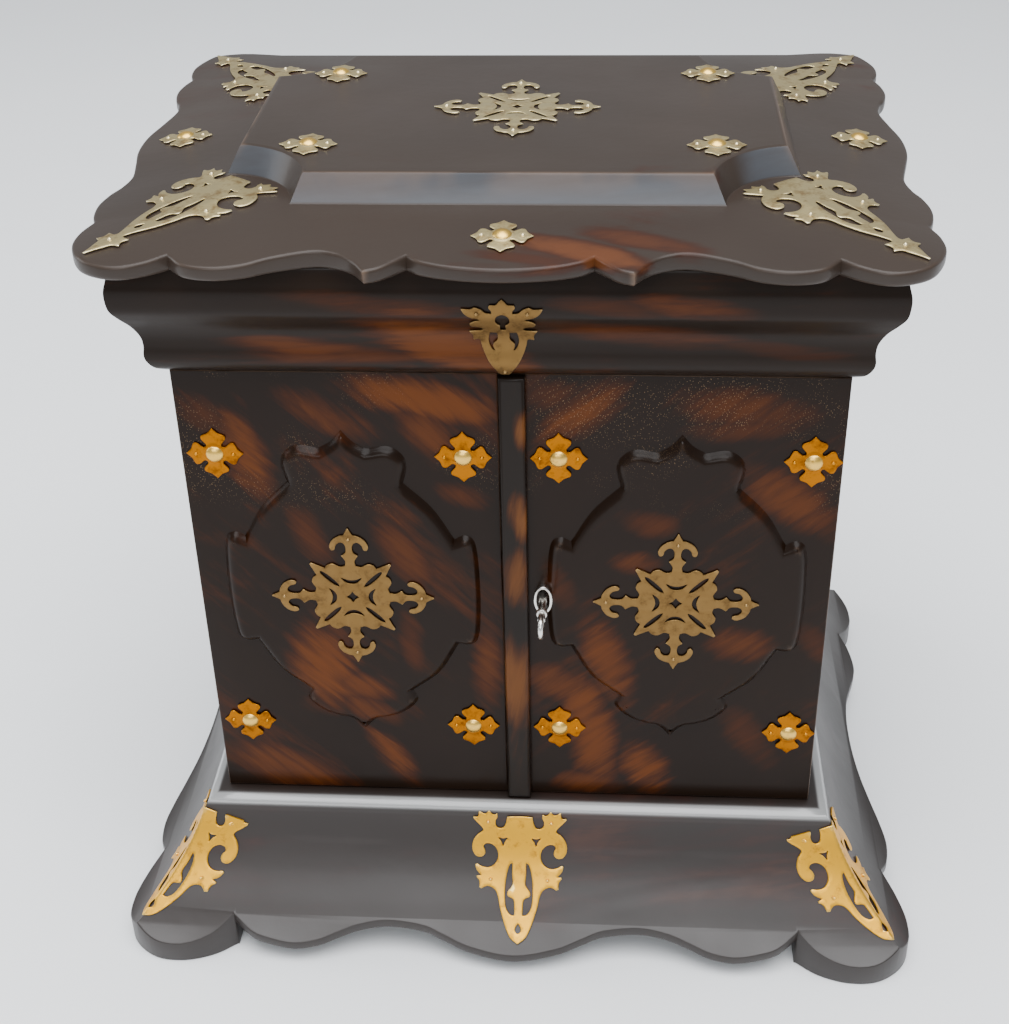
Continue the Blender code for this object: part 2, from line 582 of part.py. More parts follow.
def rosette(name, spot, turn, finish):
    """A rosette at a spot on a face, turned so that its boss points along the face's outward direction."""
    mesh = rosette_mesh.copy()
    mesh.transform(Matrix.Translation(spot) @ turn)
    return smooth(add_piece(name, mesh, finish), 50)


case_pieces = [carcase, cornice, plinth]
door_pieces = {"left": [doors["left"], pins["left", "lower"], pins["left", "upper"]],
               "right": [doors["right"], pins["right", "lower"], pins["right", "upper"],
                         strip, keyhole_ring, key]}
lid_pieces = [lid]
for side, sign in (("left", -1), ("right", 1)):
    for level, z in (("lower", BODY_Z + ROSETTE_FOOT), ("upper", CORNICE_Z - ROSETTE_HEAD)):
        for place, x in (("inner", ROSETTE_MID), ("outer", HALF_W - ROSETTE_SIDE)):
            door_pieces[side].append(rosette(f"{side}_door_rosette_{level}_{place}",
                                             (FACE_MID + sign * x, FACE_Y, z), lying, brass))


def roof_z(x, y):
    """The height of the lid's slopes over a place in plan."""
    out = max(abs(x) - HALF_W, abs(y) - HALF_D, -PANEL_INSET - PANEL_LAP)
    return RIM_Z + SLOPE * (LID_REACH - out)


side_out = HALF_W + LID_SIDE_ROSETTE
for side, sign in (("left", -1), ("right", 1)):
    tilt = Matrix.Rotation(sign * atan(SLOPE), 4, "Y")
    spot = (sign * side_out, LID_ROSETTE_Y, roof_z(side_out, 0))
    lid_pieces.append(rosette(f"lid_rosette_{side}", spot, tilt, pale_brass))
    for place, y in (("front", -1), ("back", 1)):
        spot = (sign * (HALF_W - PANEL_INSET - PANEL_ROSETTE_X),
                y * (HALF_D - PANEL_INSET - PANEL_ROSETTE_Y), PANEL_Z)
        lid_pieces.append(rosette(f"lid_panel_rosette_{place}_{side}", spot, Matrix(), pale_brass))
front_out = HALF_D + LID_FRONT_ROSETTE
lid_pieces.append(rosette("lid_rosette_front", (0, -front_out, roof_z(0, front_out)),
                          Matrix.Rotation(atan(SLOPE), 4, "X"), pale_brass))

# Medallions: four arms with hooked and spear-shaped ends, leaves between them, and openings
arm = [(MEDALLION_LEAF, -MEDALLION_LEAF)] + [(a, -b) for a, b in MEDALLION] + [(MEDALLION_TIP, 0)]
arm += [(a, b) for a, b in reversed(MEDALLION)]
medallion_loops = [[]]
for k in range(4):
    turned = Matrix.Rotation(k * pi / 2, 2)
    medallion_loops[0] += [tuple(turned @ Vector(p) * MEDALLION_UNIT) for p in arm]
    for hole in (MEDALLION_SLOT, MEDALLION_CRESCENT):
        medallion_loops.append([tuple(turned @ Vector(p) * MEDALLION_UNIT) for p in hole])
eye = MEDALLION_EYE * MEDALLION_UNIT
medallion_loops.append([(eye, 0), (0, eye), (-eye, 0), (0, -eye)])
medallion_mesh = plate(medallion_loops, BRASS_T, GAP)
for side, sign in (("left", -1), ("right", 1)):
    mesh = medallion_mesh.copy()
    spot = (FACE_MID + sign * CARTOUCHE_X, FACE_Y - CARTOUCHE_RISE, CARTOUCHE_Z)
    mesh.transform(Matrix.Translation(spot) @ lying)
    door_pieces[side].append(add_piece(f"{side}_door_medallion", mesh, aged_brass))
mesh = medallion_mesh.copy()
mesh.transform(Matrix.Translation((0, 0, PANEL_Z)))
lid_pieces.append(add_piece("lid_medallion", mesh, pale_brass))


# Lance mounts: a winged head with scrolls and leaves over a long pierced lance
def lance(finial):
    """The flat mount, with its axis along +y from its head and its holes cut."""
    half = LANCE + (FINIAL if finial else [])
    tip = FINIAL_L if finial else LANCE_L
    head = [(0, LANCE_UNIT * LANCE[0][1])]
    outline = mirrored(head + [(x * LANCE_UNIT, y * LANCE_UNIT) for x, y in half] + [(0, tip)])
    loops = [outline, [(x * LANCE_UNIT, y * LANCE_UNIT) for x, y in LANCE_DROP]]
    for hole in LANCE_HOLES:
        right = [(x * LANCE_UNIT, y * LANCE_UNIT) for x, y in hole]
        loops += [right, [(-x, y) for x, y in right]]
    return plate(loops, BRASS_T, GAP)


# On the lid they lie on two slopes and the level ground in the panel's hollowed corner
axis = Vector((cos(LID_MOUNT_TURN), -sin(LID_MOUNT_TURN), 0))
tip_at = Vector((HALF_W + LID_TIP_X, -HALF_D - LID_TIP_Y, 0))
flat = Matrix.Translation(tip_at - axis * FINIAL_L) @ Matrix.Rotation(-LID_MOUNT_TURN - pi / 2, 4, "Z")
lid_mount = lance(True)
lid_mount.transform(flat)
crease_x = HALF_W - PANEL_INSET - PANEL_LAP
crease_y = -HALF_D + PANEL_INSET + PANEL_LAP
creases = [((crease_x, 0, 0), (1, 0, 0)), ((0, crease_y, 0), (0, 1, 0)), ((HALF_W, -HALF_D, 0), (1, 1, 0))]
bend(lid_mount, creases, lambda x, y, z: (x, y, roof_z(x, y) + z))
for name, across_x, across_y in (("front_right", False, False), ("front_left", True, False),
                                 ("back_right", False, True), ("back_left", True, True)):
    mesh = mirror_mesh(lid_mount, across_x, across_y)
    lid_pieces.append(add_piece(f"lid_corner_mount_{name}", mesh, pale_brass))

# On the plinth they follow the sweep, measured along its polygon from the shoulder
sweep_line = [sweep(s) for s in steps]
sweep_len = [0.0]
ridge_len = [0.0]
for (o1, z1), (o2, z2) in zip(sweep_line, sweep_line[1:]):
    sweep_len.append(sweep_len[-1] + hypot(o2 - o1, z2 - z1))
    ridge_len.append(ridge_len[-1] + hypot(o2 - o1, hypot(o2 - o1, z2 - z1)))


def on_polygon(lengths, distance):
    """The stretch of the sweep's polygon at a distance, and the share of it."""
    k = max(0, min(len(lengths) - 2, sum(1 for value in lengths[1:] if value <= distance)))
    return k, (distance - lengths[k]) / (lengths[k + 1] - lengths[k])


def over_sweep(distance, lift):
    """(out, height) at a distance along the sweep and so far off its face."""
    k, share = on_polygon(sweep_len, distance)
    (o1, z1), (o2, z2) = sweep_line[k], sweep_line[k + 1]
    long = hypot(o2 - o1, z2 - z1)
    return o1 + (o2 - o1) * share + (z1 - z2) / long * lift, z1 + (z2 - z1) * share + (o2 - o1) / long * lift


def front_spot(x, y, z):
    out, height = over_sweep(y, z)
    return x + BASE_MOUNT_X, -HALF_D - out, height


def ridge_spot(x, y, z):
    """Folds the plate over the ridge between the front and the right side, square to the ridge."""
    k, share = on_polygon(ridge_len, y)
    (o1, _), (o2, _) = sweep_line[k], sweep_line[k + 1]
    piece_len = ridge_len[k + 1] - ridge_len[k]
    lean = (o2 - o1) / piece_len
    along = sweep_len[k] + (sweep_len[k + 1] - sweep_len[k]) * share
    square = (sweep_len[k + 1] - sweep_len[k]) / piece_len
    to_ridge = o1 + (o2 - o1) * share - abs(x) * square
    out, height = over_sweep(along + abs(x) * lean, z)
    if abs(x) < GAP / 10:
        return HALF_W + out, -HALF_D - out, height
    if x > 0:
        return HALF_W + to_ridge, -HALF_D - out, height
    return HALF_W + out, -HALF_D - to_ridge, height


sweep_cuts = [((0, length, 0), (0, 1, 0)) for length in sweep_len[1:-1]]
base_mount = bend(lance(False), sweep_cuts, front_spot)
case_pieces.append(add_piece("base_mount_front", base_mount, brass))
ridge_cuts = [((0, 0, 0), (1, 0, 0))] + [((0, length, 0), (0, 1, 0)) for length in ridge_len[1:-1]]
corner_mount = bend(lance(False), ridge_cuts, ridge_spot)
case_pieces.append(add_piece("base_corner_mount_right", corner_mount, brass))
case_pieces.append(add_piece("base_corner_mount_left", mirror_mesh(corner_mount, True), brass))

# Lock plate: it follows the cornice's moulding
lock_loops = [mirrored([(0, LOCK_TIPS[0])] + LOCK + [(0, LOCK_TIPS[1])]),
              mirrored([(0, LOCK_KEYHOLE[0][1])] + LOCK_KEYHOLE + [(0, LOCK_KEYHOLE_TOP)]),
              LOCK_SLOT, [(-x, y) for x, y in LOCK_SLOT]]
lock_mesh = plate([[(x * LOCK_UNIT, y * LOCK_UNIT) for x, y in loop] for loop in lock_loops], BRASS_T, GAP)


def cornice_spot(x, y, z):
    height = CORNICE_Z + y
    k = max(0, min(len(cornice_line) - 2, sum(1 for _, level in cornice_line[1:] if level <= height)))
    (o1, z1), (o2, z2) = cornice_line[k], cornice_line[k + 1]
    return x, -HALF_D - o1 - (o2 - o1) * (height - z1) / (z2 - z1) - z, height


cornice_cuts = [((0, level - CORNICE_Z, 0), (0, 1, 0)) for _, level in cornice_line[1:-1]]
case_pieces.append(add_piece("lock_plate", bend(lock_mesh, cornice_cuts, cornice_spot), brass))

# Lid hinges: the pin runs behind the cornice's widest line, under the lid's overhang
lid_pin = Vector((0, HALF_D + max(out for out, _ in CORNICE) + GAP + HINGE_R, LID_Z - GAP - HINGE_R))


def hinge_leaf(name, x, low, high, middle):
    """One leaf: a plate from its low to its high corner about the pin, with its knuckles, clear of the others."""
    ends = [(-HINGE_L / 2, -KNUCKLE / 2), (KNUCKLE / 2, HINGE_L / 2)]
    mine, others = ([(-KNUCKLE / 2, KNUCKLE / 2)], ends) if middle else (ends, [(-KNUCKLE / 2, KNUCKLE / 2)])
    leaf = add_piece(name, box((-HINGE_L / 2, *low), (HINGE_L / 2, *high)), hinge_brass)
    across = Matrix.Rotation(pi / 2, 4, "Y")
    for k, (a, b) in enumerate(others):
        clear = cylinder(HINGE_R + GAP, b - a + 2 * GAP, (0, 0, 0))
        clear.transform(Matrix.Translation(((a + b) / 2, 0, 0)) @ across)
        combine(leaf, "DIFFERENCE", add_cutter(f"{name}_clear_{k}", clear))
    for k, (a, b) in enumerate(mine):
        knuckle = cylinder(HINGE_R, b - a, (0, 0, 0), 10)
        knuckle.transform(Matrix.Translation(((a + b) / 2, 0, 0)) @ across)
        combine(leaf, "UNION", add_cutter(f"{name}_knuckle_{k}", knuckle))
    mesh = bake(leaf)
    mesh.transform(Matrix.Translation(lid_pin + Vector((x, 0, 0))))
    return smooth(add_piece(name, mesh, hinge_brass))


for side, sign in (("left", -1), ("right", 1)):
    x = sign * HINGE_SPAN / 2
    case_pieces.append(hinge_leaf(f"{side}_hinge_case_leaf", x, (-HINGE_R, -CASE_LEAF),
                                  (LEAF_T - HINGE_R, 0), False))
    lid_pieces.append(hinge_leaf(f"{side}_hinge_lid_leaf", x, (0, HINGE_R - LEAF_T), (LID_LEAF, HINGE_R), True))


def hang(name, spot, pieces):
    """Parents the pieces to an empty on the line that they turn about."""
    pivot = bpy.data.objects.new(name, None)
    PARTS.objects.link(pivot)
    pivot.location = spot
    for piece in pieces:
        piece.parent = pivot
        piece.matrix_parent_inverse = Matrix.Translation(-Vector(spot))


hang("lid_pivot", lid_pin, lid_pieces)
hang("left_door_pivot", (-PIVOT_X, PIVOT_Y, BODY_Z), door_pieces["left"])
hang("right_door_pivot", (PIVOT_X, PIVOT_Y, BODY_Z), door_pieces["right"])
hang("case_origin", (0, 0, 0), case_pieces)
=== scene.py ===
from math import asin, atan, cos, hypot, pi, radians, sin, sqrt

import bmesh
import bpy
import numpy as np
from mathutils import Matrix, Vector
from mathutils.geometry import delaunay_2d_cdt


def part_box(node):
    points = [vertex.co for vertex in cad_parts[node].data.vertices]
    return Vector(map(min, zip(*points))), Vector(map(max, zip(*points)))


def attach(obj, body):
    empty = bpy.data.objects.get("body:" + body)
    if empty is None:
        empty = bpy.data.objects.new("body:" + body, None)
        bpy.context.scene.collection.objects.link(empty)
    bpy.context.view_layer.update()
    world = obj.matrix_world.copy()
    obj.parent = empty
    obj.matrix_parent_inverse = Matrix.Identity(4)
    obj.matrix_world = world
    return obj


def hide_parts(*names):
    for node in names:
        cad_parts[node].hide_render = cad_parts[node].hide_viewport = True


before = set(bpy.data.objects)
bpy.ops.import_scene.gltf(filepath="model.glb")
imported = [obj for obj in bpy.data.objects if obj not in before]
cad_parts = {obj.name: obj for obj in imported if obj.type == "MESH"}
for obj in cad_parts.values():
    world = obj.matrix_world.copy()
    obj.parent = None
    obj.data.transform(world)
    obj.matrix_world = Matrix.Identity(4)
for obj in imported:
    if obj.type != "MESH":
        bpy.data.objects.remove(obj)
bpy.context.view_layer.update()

# The view: a camera held above the front, a little to the right of the middle and tilted, as in the photo.
# Its lens is a long one.
EYE = Vector((0.0451, -0.7208, 0.6349))
PITCH = radians(32.72)
YAW = radians(-4.40)
ROLL = radians(-1.41)
ahead = Vector((sin(YAW) * cos(PITCH), cos(YAW) * cos(PITCH), -sin(PITCH)))
level = Vector((cos(YAW), -sin(YAW), 0))
rise = level.cross(ahead)
right = level * cos(ROLL) + rise * sin(ROLL)
up = rise * cos(ROLL) - level * sin(ROLL)
camera = bpy.data.objects.new("camera", bpy.data.cameras.new("camera"))
camera.data.lens = 58.56
camera.data.sensor_width = 36
camera.data.sensor_fit = "HORIZONTAL"
turned = Matrix((right, up, -ahead)).transposed().to_4x4()
camera.matrix_world = Matrix.Translation(EYE) @ turned
bpy.context.scene.collection.objects.link(camera)
bpy.context.scene.camera = camera


# The floor is a plain pale sheet. Soft light comes from a broad window in front and above, from the left and
# from a pale room all round.
class Tone:
    """A socket of a finish. Python's operators on it add the Math nodes."""

    def __init__(self, socket):
        self.socket = socket

    def node(self, kind, settings=None, inputs=None, output=0):
        """Adds a node to the same finish: its settings first, then the values or links of its sockets."""
        tree = self.socket.id_data
        made = tree.nodes.new("ShaderNode" + kind)
        for name, value in (settings or {}).items():
            setattr(made, name, value)
        for name, value in (inputs or {}).items():
            if isinstance(value, Tone):
                tree.links.new(value.socket, made.inputs[name])
            else:
                made.inputs[name].default_value = value
        return Tone(made.outputs[output])

    def maths(self, operation, *others):
        return self.node("Math", {"operation": operation}, dict(enumerate((self, *others))))

    def __add__(self, other):
        return self.maths("ADD", other)

    def __sub__(self, other):
        return self.maths("SUBTRACT", other)

    def __rsub__(self, other):
        return self.node("Math", {"operation": "SUBTRACT"}, {0: other, 1: self})

    def __mul__(self, other):
        return self.maths("MULTIPLY", other)

    def __truediv__(self, other):
        return self.maths("DIVIDE", other)

    def __abs__(self):
        return self.maths("ABSOLUTE")

    __radd__ = __add__
    __rmul__ = __mul__

    def most(self, other):
        return self.maths("MAXIMUM", other)

    def between(self, low, high):
        """0 up to the low value and 1 from the high one, with a soft step from one to the other."""
        return self.node("MapRange", {"interpolation_type": "SMOOTHSTEP"},
                         {"Value": self, "From Min": low, "From Max": high})

    def blend(self, low, high):
        """A colour from low to high by this share."""
        return self.node("Mix", {"data_type": "RGBA"}, {0: self, 6: low, 7: high}, 2)

    def noise(self, scale, detail=3.0, rough=0.5, warp=0.0):
        """A cloudy value at this place, of so many clouds a metre."""
        return self.node("TexNoise", None, {"Vector": self, "Scale": scale, "Detail": detail,
                                            "Roughness": rough, "Distortion": warp})

    def stretched(self, scale, turn=(0, 0, 0), shift=(0, 0, 0)):
        """This place in axes turned and scaled, so that a pattern there runs in streaks."""
        return self.node("Mapping", None,
                         {"Vector": self, "Location": shift, "Rotation": turn, "Scale": scale})

    def axis(self, name):
        return self.node("SeparateXYZ", None, {"Vector": self}, name)


def colour(red, green, blue):
    return (red, green, blue, 1.0)


def finish(name):
    """A new material's shader, its place on the piece and the material."""
    made = bpy.data.materials.new(name)
    made.use_nodes = True
    shader = made.node_tree.nodes["Principled BSDF"]
    place = Tone(shader.outputs[0]).node("TexCoord", output="Object")
    return shader, place, made


def dress(shader, **inputs):
    """Sets or links the shader's sockets by name."""
    for name, value in inputs.items():
        socket = shader.inputs[name.replace("_", " ")]
        if isinstance(value, Tone):
            shader.id_data.links.new(value.socket, socket)
        else:
            socket.default_value = value


def bumped(height, distance, strength=1.0):
    return height.node("Bump", None, {"Height": height, "Distance": distance, "Strength": strength})


shader, spot, floor_finish = finish("pale_floor")
sheet_tone = spot.noise(3.0).blend(colour(0.83, 0.84, 0.85), colour(0.90, 0.91, 0.92))
dress(shader, Base_Color=sheet_tone, Roughness=0.9)
FLOOR = 7.0               # half its width
bm = bmesh.new()
bmesh.ops.create_grid(bm, x_segments=1, y_segments=1, size=FLOOR)
floor_mesh = bpy.data.meshes.new("floor")
bm.to_mesh(floor_mesh)
bm.free()
floor_mesh.materials.append(floor_finish)
floor = bpy.data.objects.new("floor", floor_mesh)
bpy.context.scene.collection.objects.link(floor)

world = bpy.data.worlds.new("pale_room")
bpy.context.scene.world = world
world.use_nodes = True
world.node_tree.nodes["Background"].inputs["Color"].default_value = colour(0.90, 0.95, 1.0)
world.node_tree.nodes["Background"].inputs["Strength"].default_value = 0.58


def soft_light(name, place, aim, width, height, power, tint):
    lamp = bpy.data.lights.new(name, "AREA")
    lamp.shape = "RECTANGLE"
    lamp.size = width
    lamp.size_y = height
    lamp.energy = power
    lamp.color = tint
    holder = bpy.data.objects.new(name, lamp)
    holder.location = place
    holder.rotation_euler = (Vector(aim) - Vector(place)).to_track_quat("-Z", "Y").to_euler()
    bpy.context.scene.collection.objects.link(holder)


soft_light("window", (-0.3, -2.2, 1.4), (0, 0, 0.2), 1.6, 0.6, 20, (0.96, 0.98, 1.0))
soft_light("skylight", (0.1, -0.55, 2.3), (0, -0.45, 0.2), 2.2, 2.5, 125, (0.97, 0.98, 1.0))
soft_light("left_window", (-1.9, 0.2, 0.9), (0, 0, 0.15), 1.0, 1.0, 14, (0.93, 0.97, 1.0))


# The plinth: a softwood base swept out to a scalloped skirt on four corner feet, gessoed and japanned near
# black. Its shoulder is a rounded bead with a grey highlight painted along it and a glossier coat there, and
# the lacquer is a little crazed.
def smooth_run(points, steps):
    """A Catmull-Rom curve through the points, without the last of them."""
    before = [2 * a - b for a, b in zip(points[0], points[1])]
    after = [2 * a - b for a, b in zip(points[-1], points[-2])]
    ends = [before, *points, after]
    run = []
    for p0, p1, p2, p3 in zip(ends, ends[1:], ends[2:], ends[3:]):
        for k in range(steps):
            t = k / steps
            run.append(tuple(
                b + 0.5 * t * (c - a + t * (2 * a - 5 * b + 4 * c - d + t * (3 * (b - c) + d - a)))
                for a, b, c, d in zip(p0, p1, p2, p3)))
    return run


def trace(points, steps):
    """A closed outline through points, smooth except at those marked as corners: one of them at least."""
    start = next(k for k, p in enumerate(points) if len(p) > 2)
    turned = points[start:] + points[:start + 1]
    marks = [k for k, p in enumerate(turned) if len(p) > 2]
    plain = [p[:2] for p in turned]
    return [p for a, b in zip(marks, marks[1:]) for p in smooth_run(plain[a:b + 1], steps)]


def mirrored(half):
    """A whole outline from its half at x > 0. Points on the axis aren't doubled."""
    return list(half) + [(-p[0], *p[1:]) for p in reversed(half) if p[0] > 0]


def turning(loop):
    """Twice the signed area inside an outline, above 0 if it runs anticlockwise."""
    return sum(a[0] * b[1] - b[0] * a[1] for a, b in zip(loop, loop[1:] + loop[:1]))


def aside(before, here, after):
    """The way square to an outline at a point, to its left, long enough to keep both sides' distance."""
    first = (here - before).normalized()
    second = (after - here).normalized()
    left = Vector((-first.y - second.y, first.x + second.x))
    return left / max(0.5, 1 + first.dot(second))


def gap_to(spots, loop):
    """How far each of the places is from an outline."""
    spots = np.asarray(spots, float).reshape(-1, 2)
    starts = np.asarray(loop, float)
    gap = np.full(len(spots), np.inf)
    for (x1, y1), (dx, dy) in zip(starts, np.roll(starts, -1, axis=0) - starts):
        share = ((spots[:, 0] - x1) * dx + (spots[:, 1] - y1) * dy) / max(dx * dx + dy * dy, 1e-18)
        share = share.clip(0, 1)
        gap = np.minimum(gap, np.hypot(spots[:, 0] - x1 - share * dx, spots[:, 1] - y1 - share * dy))
    return gap


def inset(loop, distance):
    """An outline moved to its left, without what would cross itself at a sharp corner."""
    spots = [Vector(p[:2]) for p in loop]
    ring = zip(spots[-1:] + spots[:-1], spots, spots[1:] + spots[:1])
    moved = [tuple(here + aside(before, here, after) * distance) for before, here, after in ring]
    return [p for p, gap in zip(moved, gap_to(moved, loop)) if gap > distance * 0.93]


def within(spots, loops):
    """Which of the places lie inside the outlines, where an inner one is a hole."""
    spots = np.asarray(spots, float).reshape(-1, 2)
    odd = np.zeros(len(spots), bool)
    for loop in loops:
        a = np.asarray(loop, float)
        b = np.roll(a, -1, axis=0)
        for (x1, y1), (x2, y2) in zip(a, b):
            if y1 != y2:
                crosses = (y1 > spots[:, 1]) != (y2 > spots[:, 1])
                odd ^= crosses & (spots[:, 0] < x1 + (x2 - x1) * (spots[:, 1] - y1) / (y2 - y1))
    return odd


def dots(loops, spacing):
    """Places in even rows inside the outlines, clear of their edges."""
    every = np.concatenate([np.asarray(loop, float) for loop in loops])
    low = every.min(0)
    high = every.max(0)
    rows = np.arange(low[1] + spacing / 2, high[1], spacing)
    columns = np.arange(low[0] + spacing / 2, high[0], spacing)
    grid = np.array([(x + (k % 2) * spacing / 2, y) for k, y in enumerate(rows) for x in columns])
    grid = grid[within(grid, loops)]
    clear = np.min([gap_to(grid, loop) for loop in loops], axis=0) > spacing * 0.6
    return [tuple(p) for p in grid[clear]]


def board(loops, top, low, ease, upper=None, lower=None, lines=(), spots=(), steps=3):
    """A solid over outlines in plan, the first round the rest: faces at the heights top(x, y) and low(x, y),
    and edges eased by a quarter round, which goes so far in and upper or lower tall. Its faces follow the
    lines and the spots, whose own third value, where they have one, is the upper face's height."""
    loops = [[p[:2] for p in loop] for loop in loops]
    loops = [loop if (turning(loop) > 0) == (k == 0) else loop[::-1] for k, loop in enumerate(loops)]
    rings = [inset(loop, ease) for loop in loops]
    plan = []
    links = []
    for line in [ring + ring[:1] for ring in rings] + [list(line) for line in lines]:
        links += [(len(plan) + k, len(plan) + k + 1) for k in range(len(line) - 1)]
        plan += line
    plan += list(spots)
    made, _, faces, sources, _, _ = delaunay_2d_cdt([Vector(p[:2]) for p in plan], links, [], 0, 1e-7)
    middles = [sum((Vector(made[k]) for k in face), Vector((0, 0))) / 3 for face in faces]
    faces = [face for face, kept in zip(faces, within([tuple(m) for m in middles], rings)) if kept]
    faces = [face if turning([made[k] for k in face]) > 0 else face[::-1] for face in faces]
    own = {k: plan[s][2] for k, origin in enumerate(sources) for s in origin if len(plan[s]) > 2}
    used = sorted({k for face in faces for k in face})
    high_z = {k: own[k] if k in own else top(*made[k]) for k in used}
    low_z = {k: low(*made[k]) for k in used}
    bm = bmesh.new()
    upper_ring = {k: bm.verts.new((*made[k], high_z[k])) for k in used}
    lower_ring = {k: bm.verts.new((*made[k], low_z[k])) for k in used}
    edges = {(a, b) for face in faces for a, b in zip(face, [*face[1:], face[0]])}
    follows = {a: b for a, b in edges if (b, a) not in edges}
    leads = {b: a for a, b in follows.items()}
    bands = []
    quarter = [pi / 2 * k / steps for k in range(1, steps + 1)]
    upper = ease if upper is None else upper
    lower = ease if lower is None else lower
    levels = [(sin(a), upper * (1 - cos(a)), True) for a in quarter]
    levels += [(sin(a), lower * (1 - cos(a)), False) for a in reversed(quarter)]
    for reach, fall, above in levels:
        ring = {}
        for k in follows:
            way = aside(Vector(made[leads[k]]), Vector(made[k]), Vector(made[follows[k]]))
            x, y = Vector(made[k]) - way * ease * reach
            ring[k] = bm.verts.new((x, y, high_z[k] - fall if above else low_z[k] + fall))
        bands.append(ring)
    for face in faces:
        bm.faces.new([upper_ring[k] for k in face])
        bm.faces.new([lower_ring[k] for k in reversed(face)])
    bands = [upper_ring, *bands, lower_ring]
    for a, b in follows.items():
        for over, under in zip(bands, bands[1:]):
            bm.faces.new((over[b], over[a], under[a], under[b]))
    return bm


def settle(bm, name, surface, body, node, place=None, sharp=35):
    """The finished piece: set in its place, shaded, dressed, and riding on its body for the CAD node."""
    if place:
        for v in bm.verts:
            v.co = place(*v.co)
    bmesh.ops.recalc_face_normals(bm, faces=bm.faces)
    mesh = bpy.data.meshes.new(name)
    bm.to_mesh(mesh)
    bm.free()
    mesh.materials.append(surface)
    mesh.shade_smooth()
    mesh.set_sharp_from_angle(angle=radians(sharp))
    piece = bpy.data.objects.new(name, mesh)
    bpy.context.scene.collection.objects.link(piece)
    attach(piece, body)
    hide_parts(node)
    return piece


def scalloped(front, lobe, side, back, low, high, steps=7):
    """The outline of the lid or the plinth, straight at the back between its corner lobes, in its box."""
    half = [(share * HALF_W, -HALF_D - out, *rest) for share, out, *rest in front]
    half += [(HALF_W + x, -HALF_D - y, *rest) for x, y, *rest in lobe]
    half += [(HALF_W + out, -share * HALF_D) for share, out in side]
    half += [(HALF_W + out, share * HALF_D) for share, out in reversed(side[:-1])]
    half += [(HALF_W + x, HALF_D + y, *rest) for x, y, *rest in reversed(lobe) if x > 0 or y > back]
    half.append((HALF_W + lobe[0][0], HALF_D + back, "corner"))
    return [(min(max(x, low.x), high.x), min(max(y, low.y), high.y)) for x, y in trace(mirrored(half), steps)]


def frame_line(out):
    """A closed rectangle in plan, so far out from the body."""
    x = HALF_W + out
    y = HALF_D + out
    return [(-x, -y), (x, -y), (x, y), (-x, y), (-x, -y)]


def mitres(inner, outer):
    """The four corner lines between two such rectangles."""
    return [[(sx * (HALF_W + inner), sy * (HALF_D + inner)), (sx * (HALF_W + outer), sy * (HALF_D + outer))]
            for sx in (-1, 1) for sy in (-1, 1)]


def away(x, y):
    """How far a place in plan is out from the body."""
    return max(abs(x) - HALF_W, abs(y) - HALF_D)


body_low, body_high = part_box("carcase")
HALF_W = body_high.x
HALF_D = body_high.y
FACE_Y = -HALF_D
plinth_low, plinth_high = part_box("plinth")
PLINTH_TOP = plinth_high.z
BASE_FRONT = [(0, 0.0525), (0.145, 0.0495), (0.241, 0.0450), (0.310, 0.0420), (0.431, 0.0406),
              (0.531, 0.0424), (0.603, 0.0455), (0.676, 0.0489), (0.757, 0.0503), (0.841, 0.0487),
              (0.903, 0.0462)]
BASE_LOBE = [(-0.0045, 0.0400, "corner"), (0.0060, 0.0477), (0.0200, 0.0521), (0.0340, 0.0511),
             (0.0450, 0.0440), (0.0511, 0.0340), (0.0521, 0.0200), (0.0483, 0.0060),
             (0.0420, -0.0060, "corner")]
BASE_SIDE = [(0.850, 0.0464), (0.710, 0.0485), (0.580, 0.0464), (0.446, 0.0425), (0.296, 0.0386),
             (0.140, 0.0365), (0, 0.0360)]
BASE_BACK = 0.0400
BEAD_OUT = 0.0105
BEAD_DROP = 0.0060
BEAD_FLAT = 0.10          # the share of it that stays level
BEAD_QUIRK = 0.0004       # the groove at its foot
COVE_OUT = 0.0560
COVE_FOOT = 0.0095
COVE_R = 0.1105
SKIRT_T = 0.0042
FOOT_IN = 0.0055
BOARD_T = 0.0078
FOOT_WALL = 0.0004        # a foot's inner walls lean by this much
BASE_EASE = 0.0009

shoulder_z = PLINTH_TOP - BEAD_DROP
drop = shoulder_z - COVE_FOOT
run_out = COVE_OUT - BEAD_OUT
chord = hypot(drop, run_out)
reach = sqrt(COVE_R ** 2 - chord ** 2 / 4)
arc_out = (BEAD_OUT + COVE_OUT) / 2 + reach * drop / chord
arc_z = (shoulder_z + COVE_FOOT) / 2 + reach * run_out / chord


def sweep_z(out, under=0.0):
    """The height of the plinth's sweep, or of a line so far under its face."""
    return arc_z - sqrt(max(0.0, (COVE_R + under) ** 2 - (arc_out - out) ** 2))


def plinth_z(x, y):
    out = away(x, y)
    if out < BEAD_OUT * BEAD_FLAT:
        return PLINTH_TOP
    if out < BEAD_OUT:
        share = (out / BEAD_OUT - BEAD_FLAT) / (1 - BEAD_FLAT)
        return PLINTH_TOP - BEAD_DROP * (1 - sqrt(max(0.0, 1 - share ** 2)))
    return sweep_z(out)


def plinth_under(x, y):
    if abs(x) > HALF_W - FOOT_IN + FOOT_WALL and abs(y) > HALF_D - FOOT_IN + FOOT_WALL:
        return 0.0
    return min(PLINTH_TOP - BOARD_T, sweep_z(away(x, y), SKIRT_T))


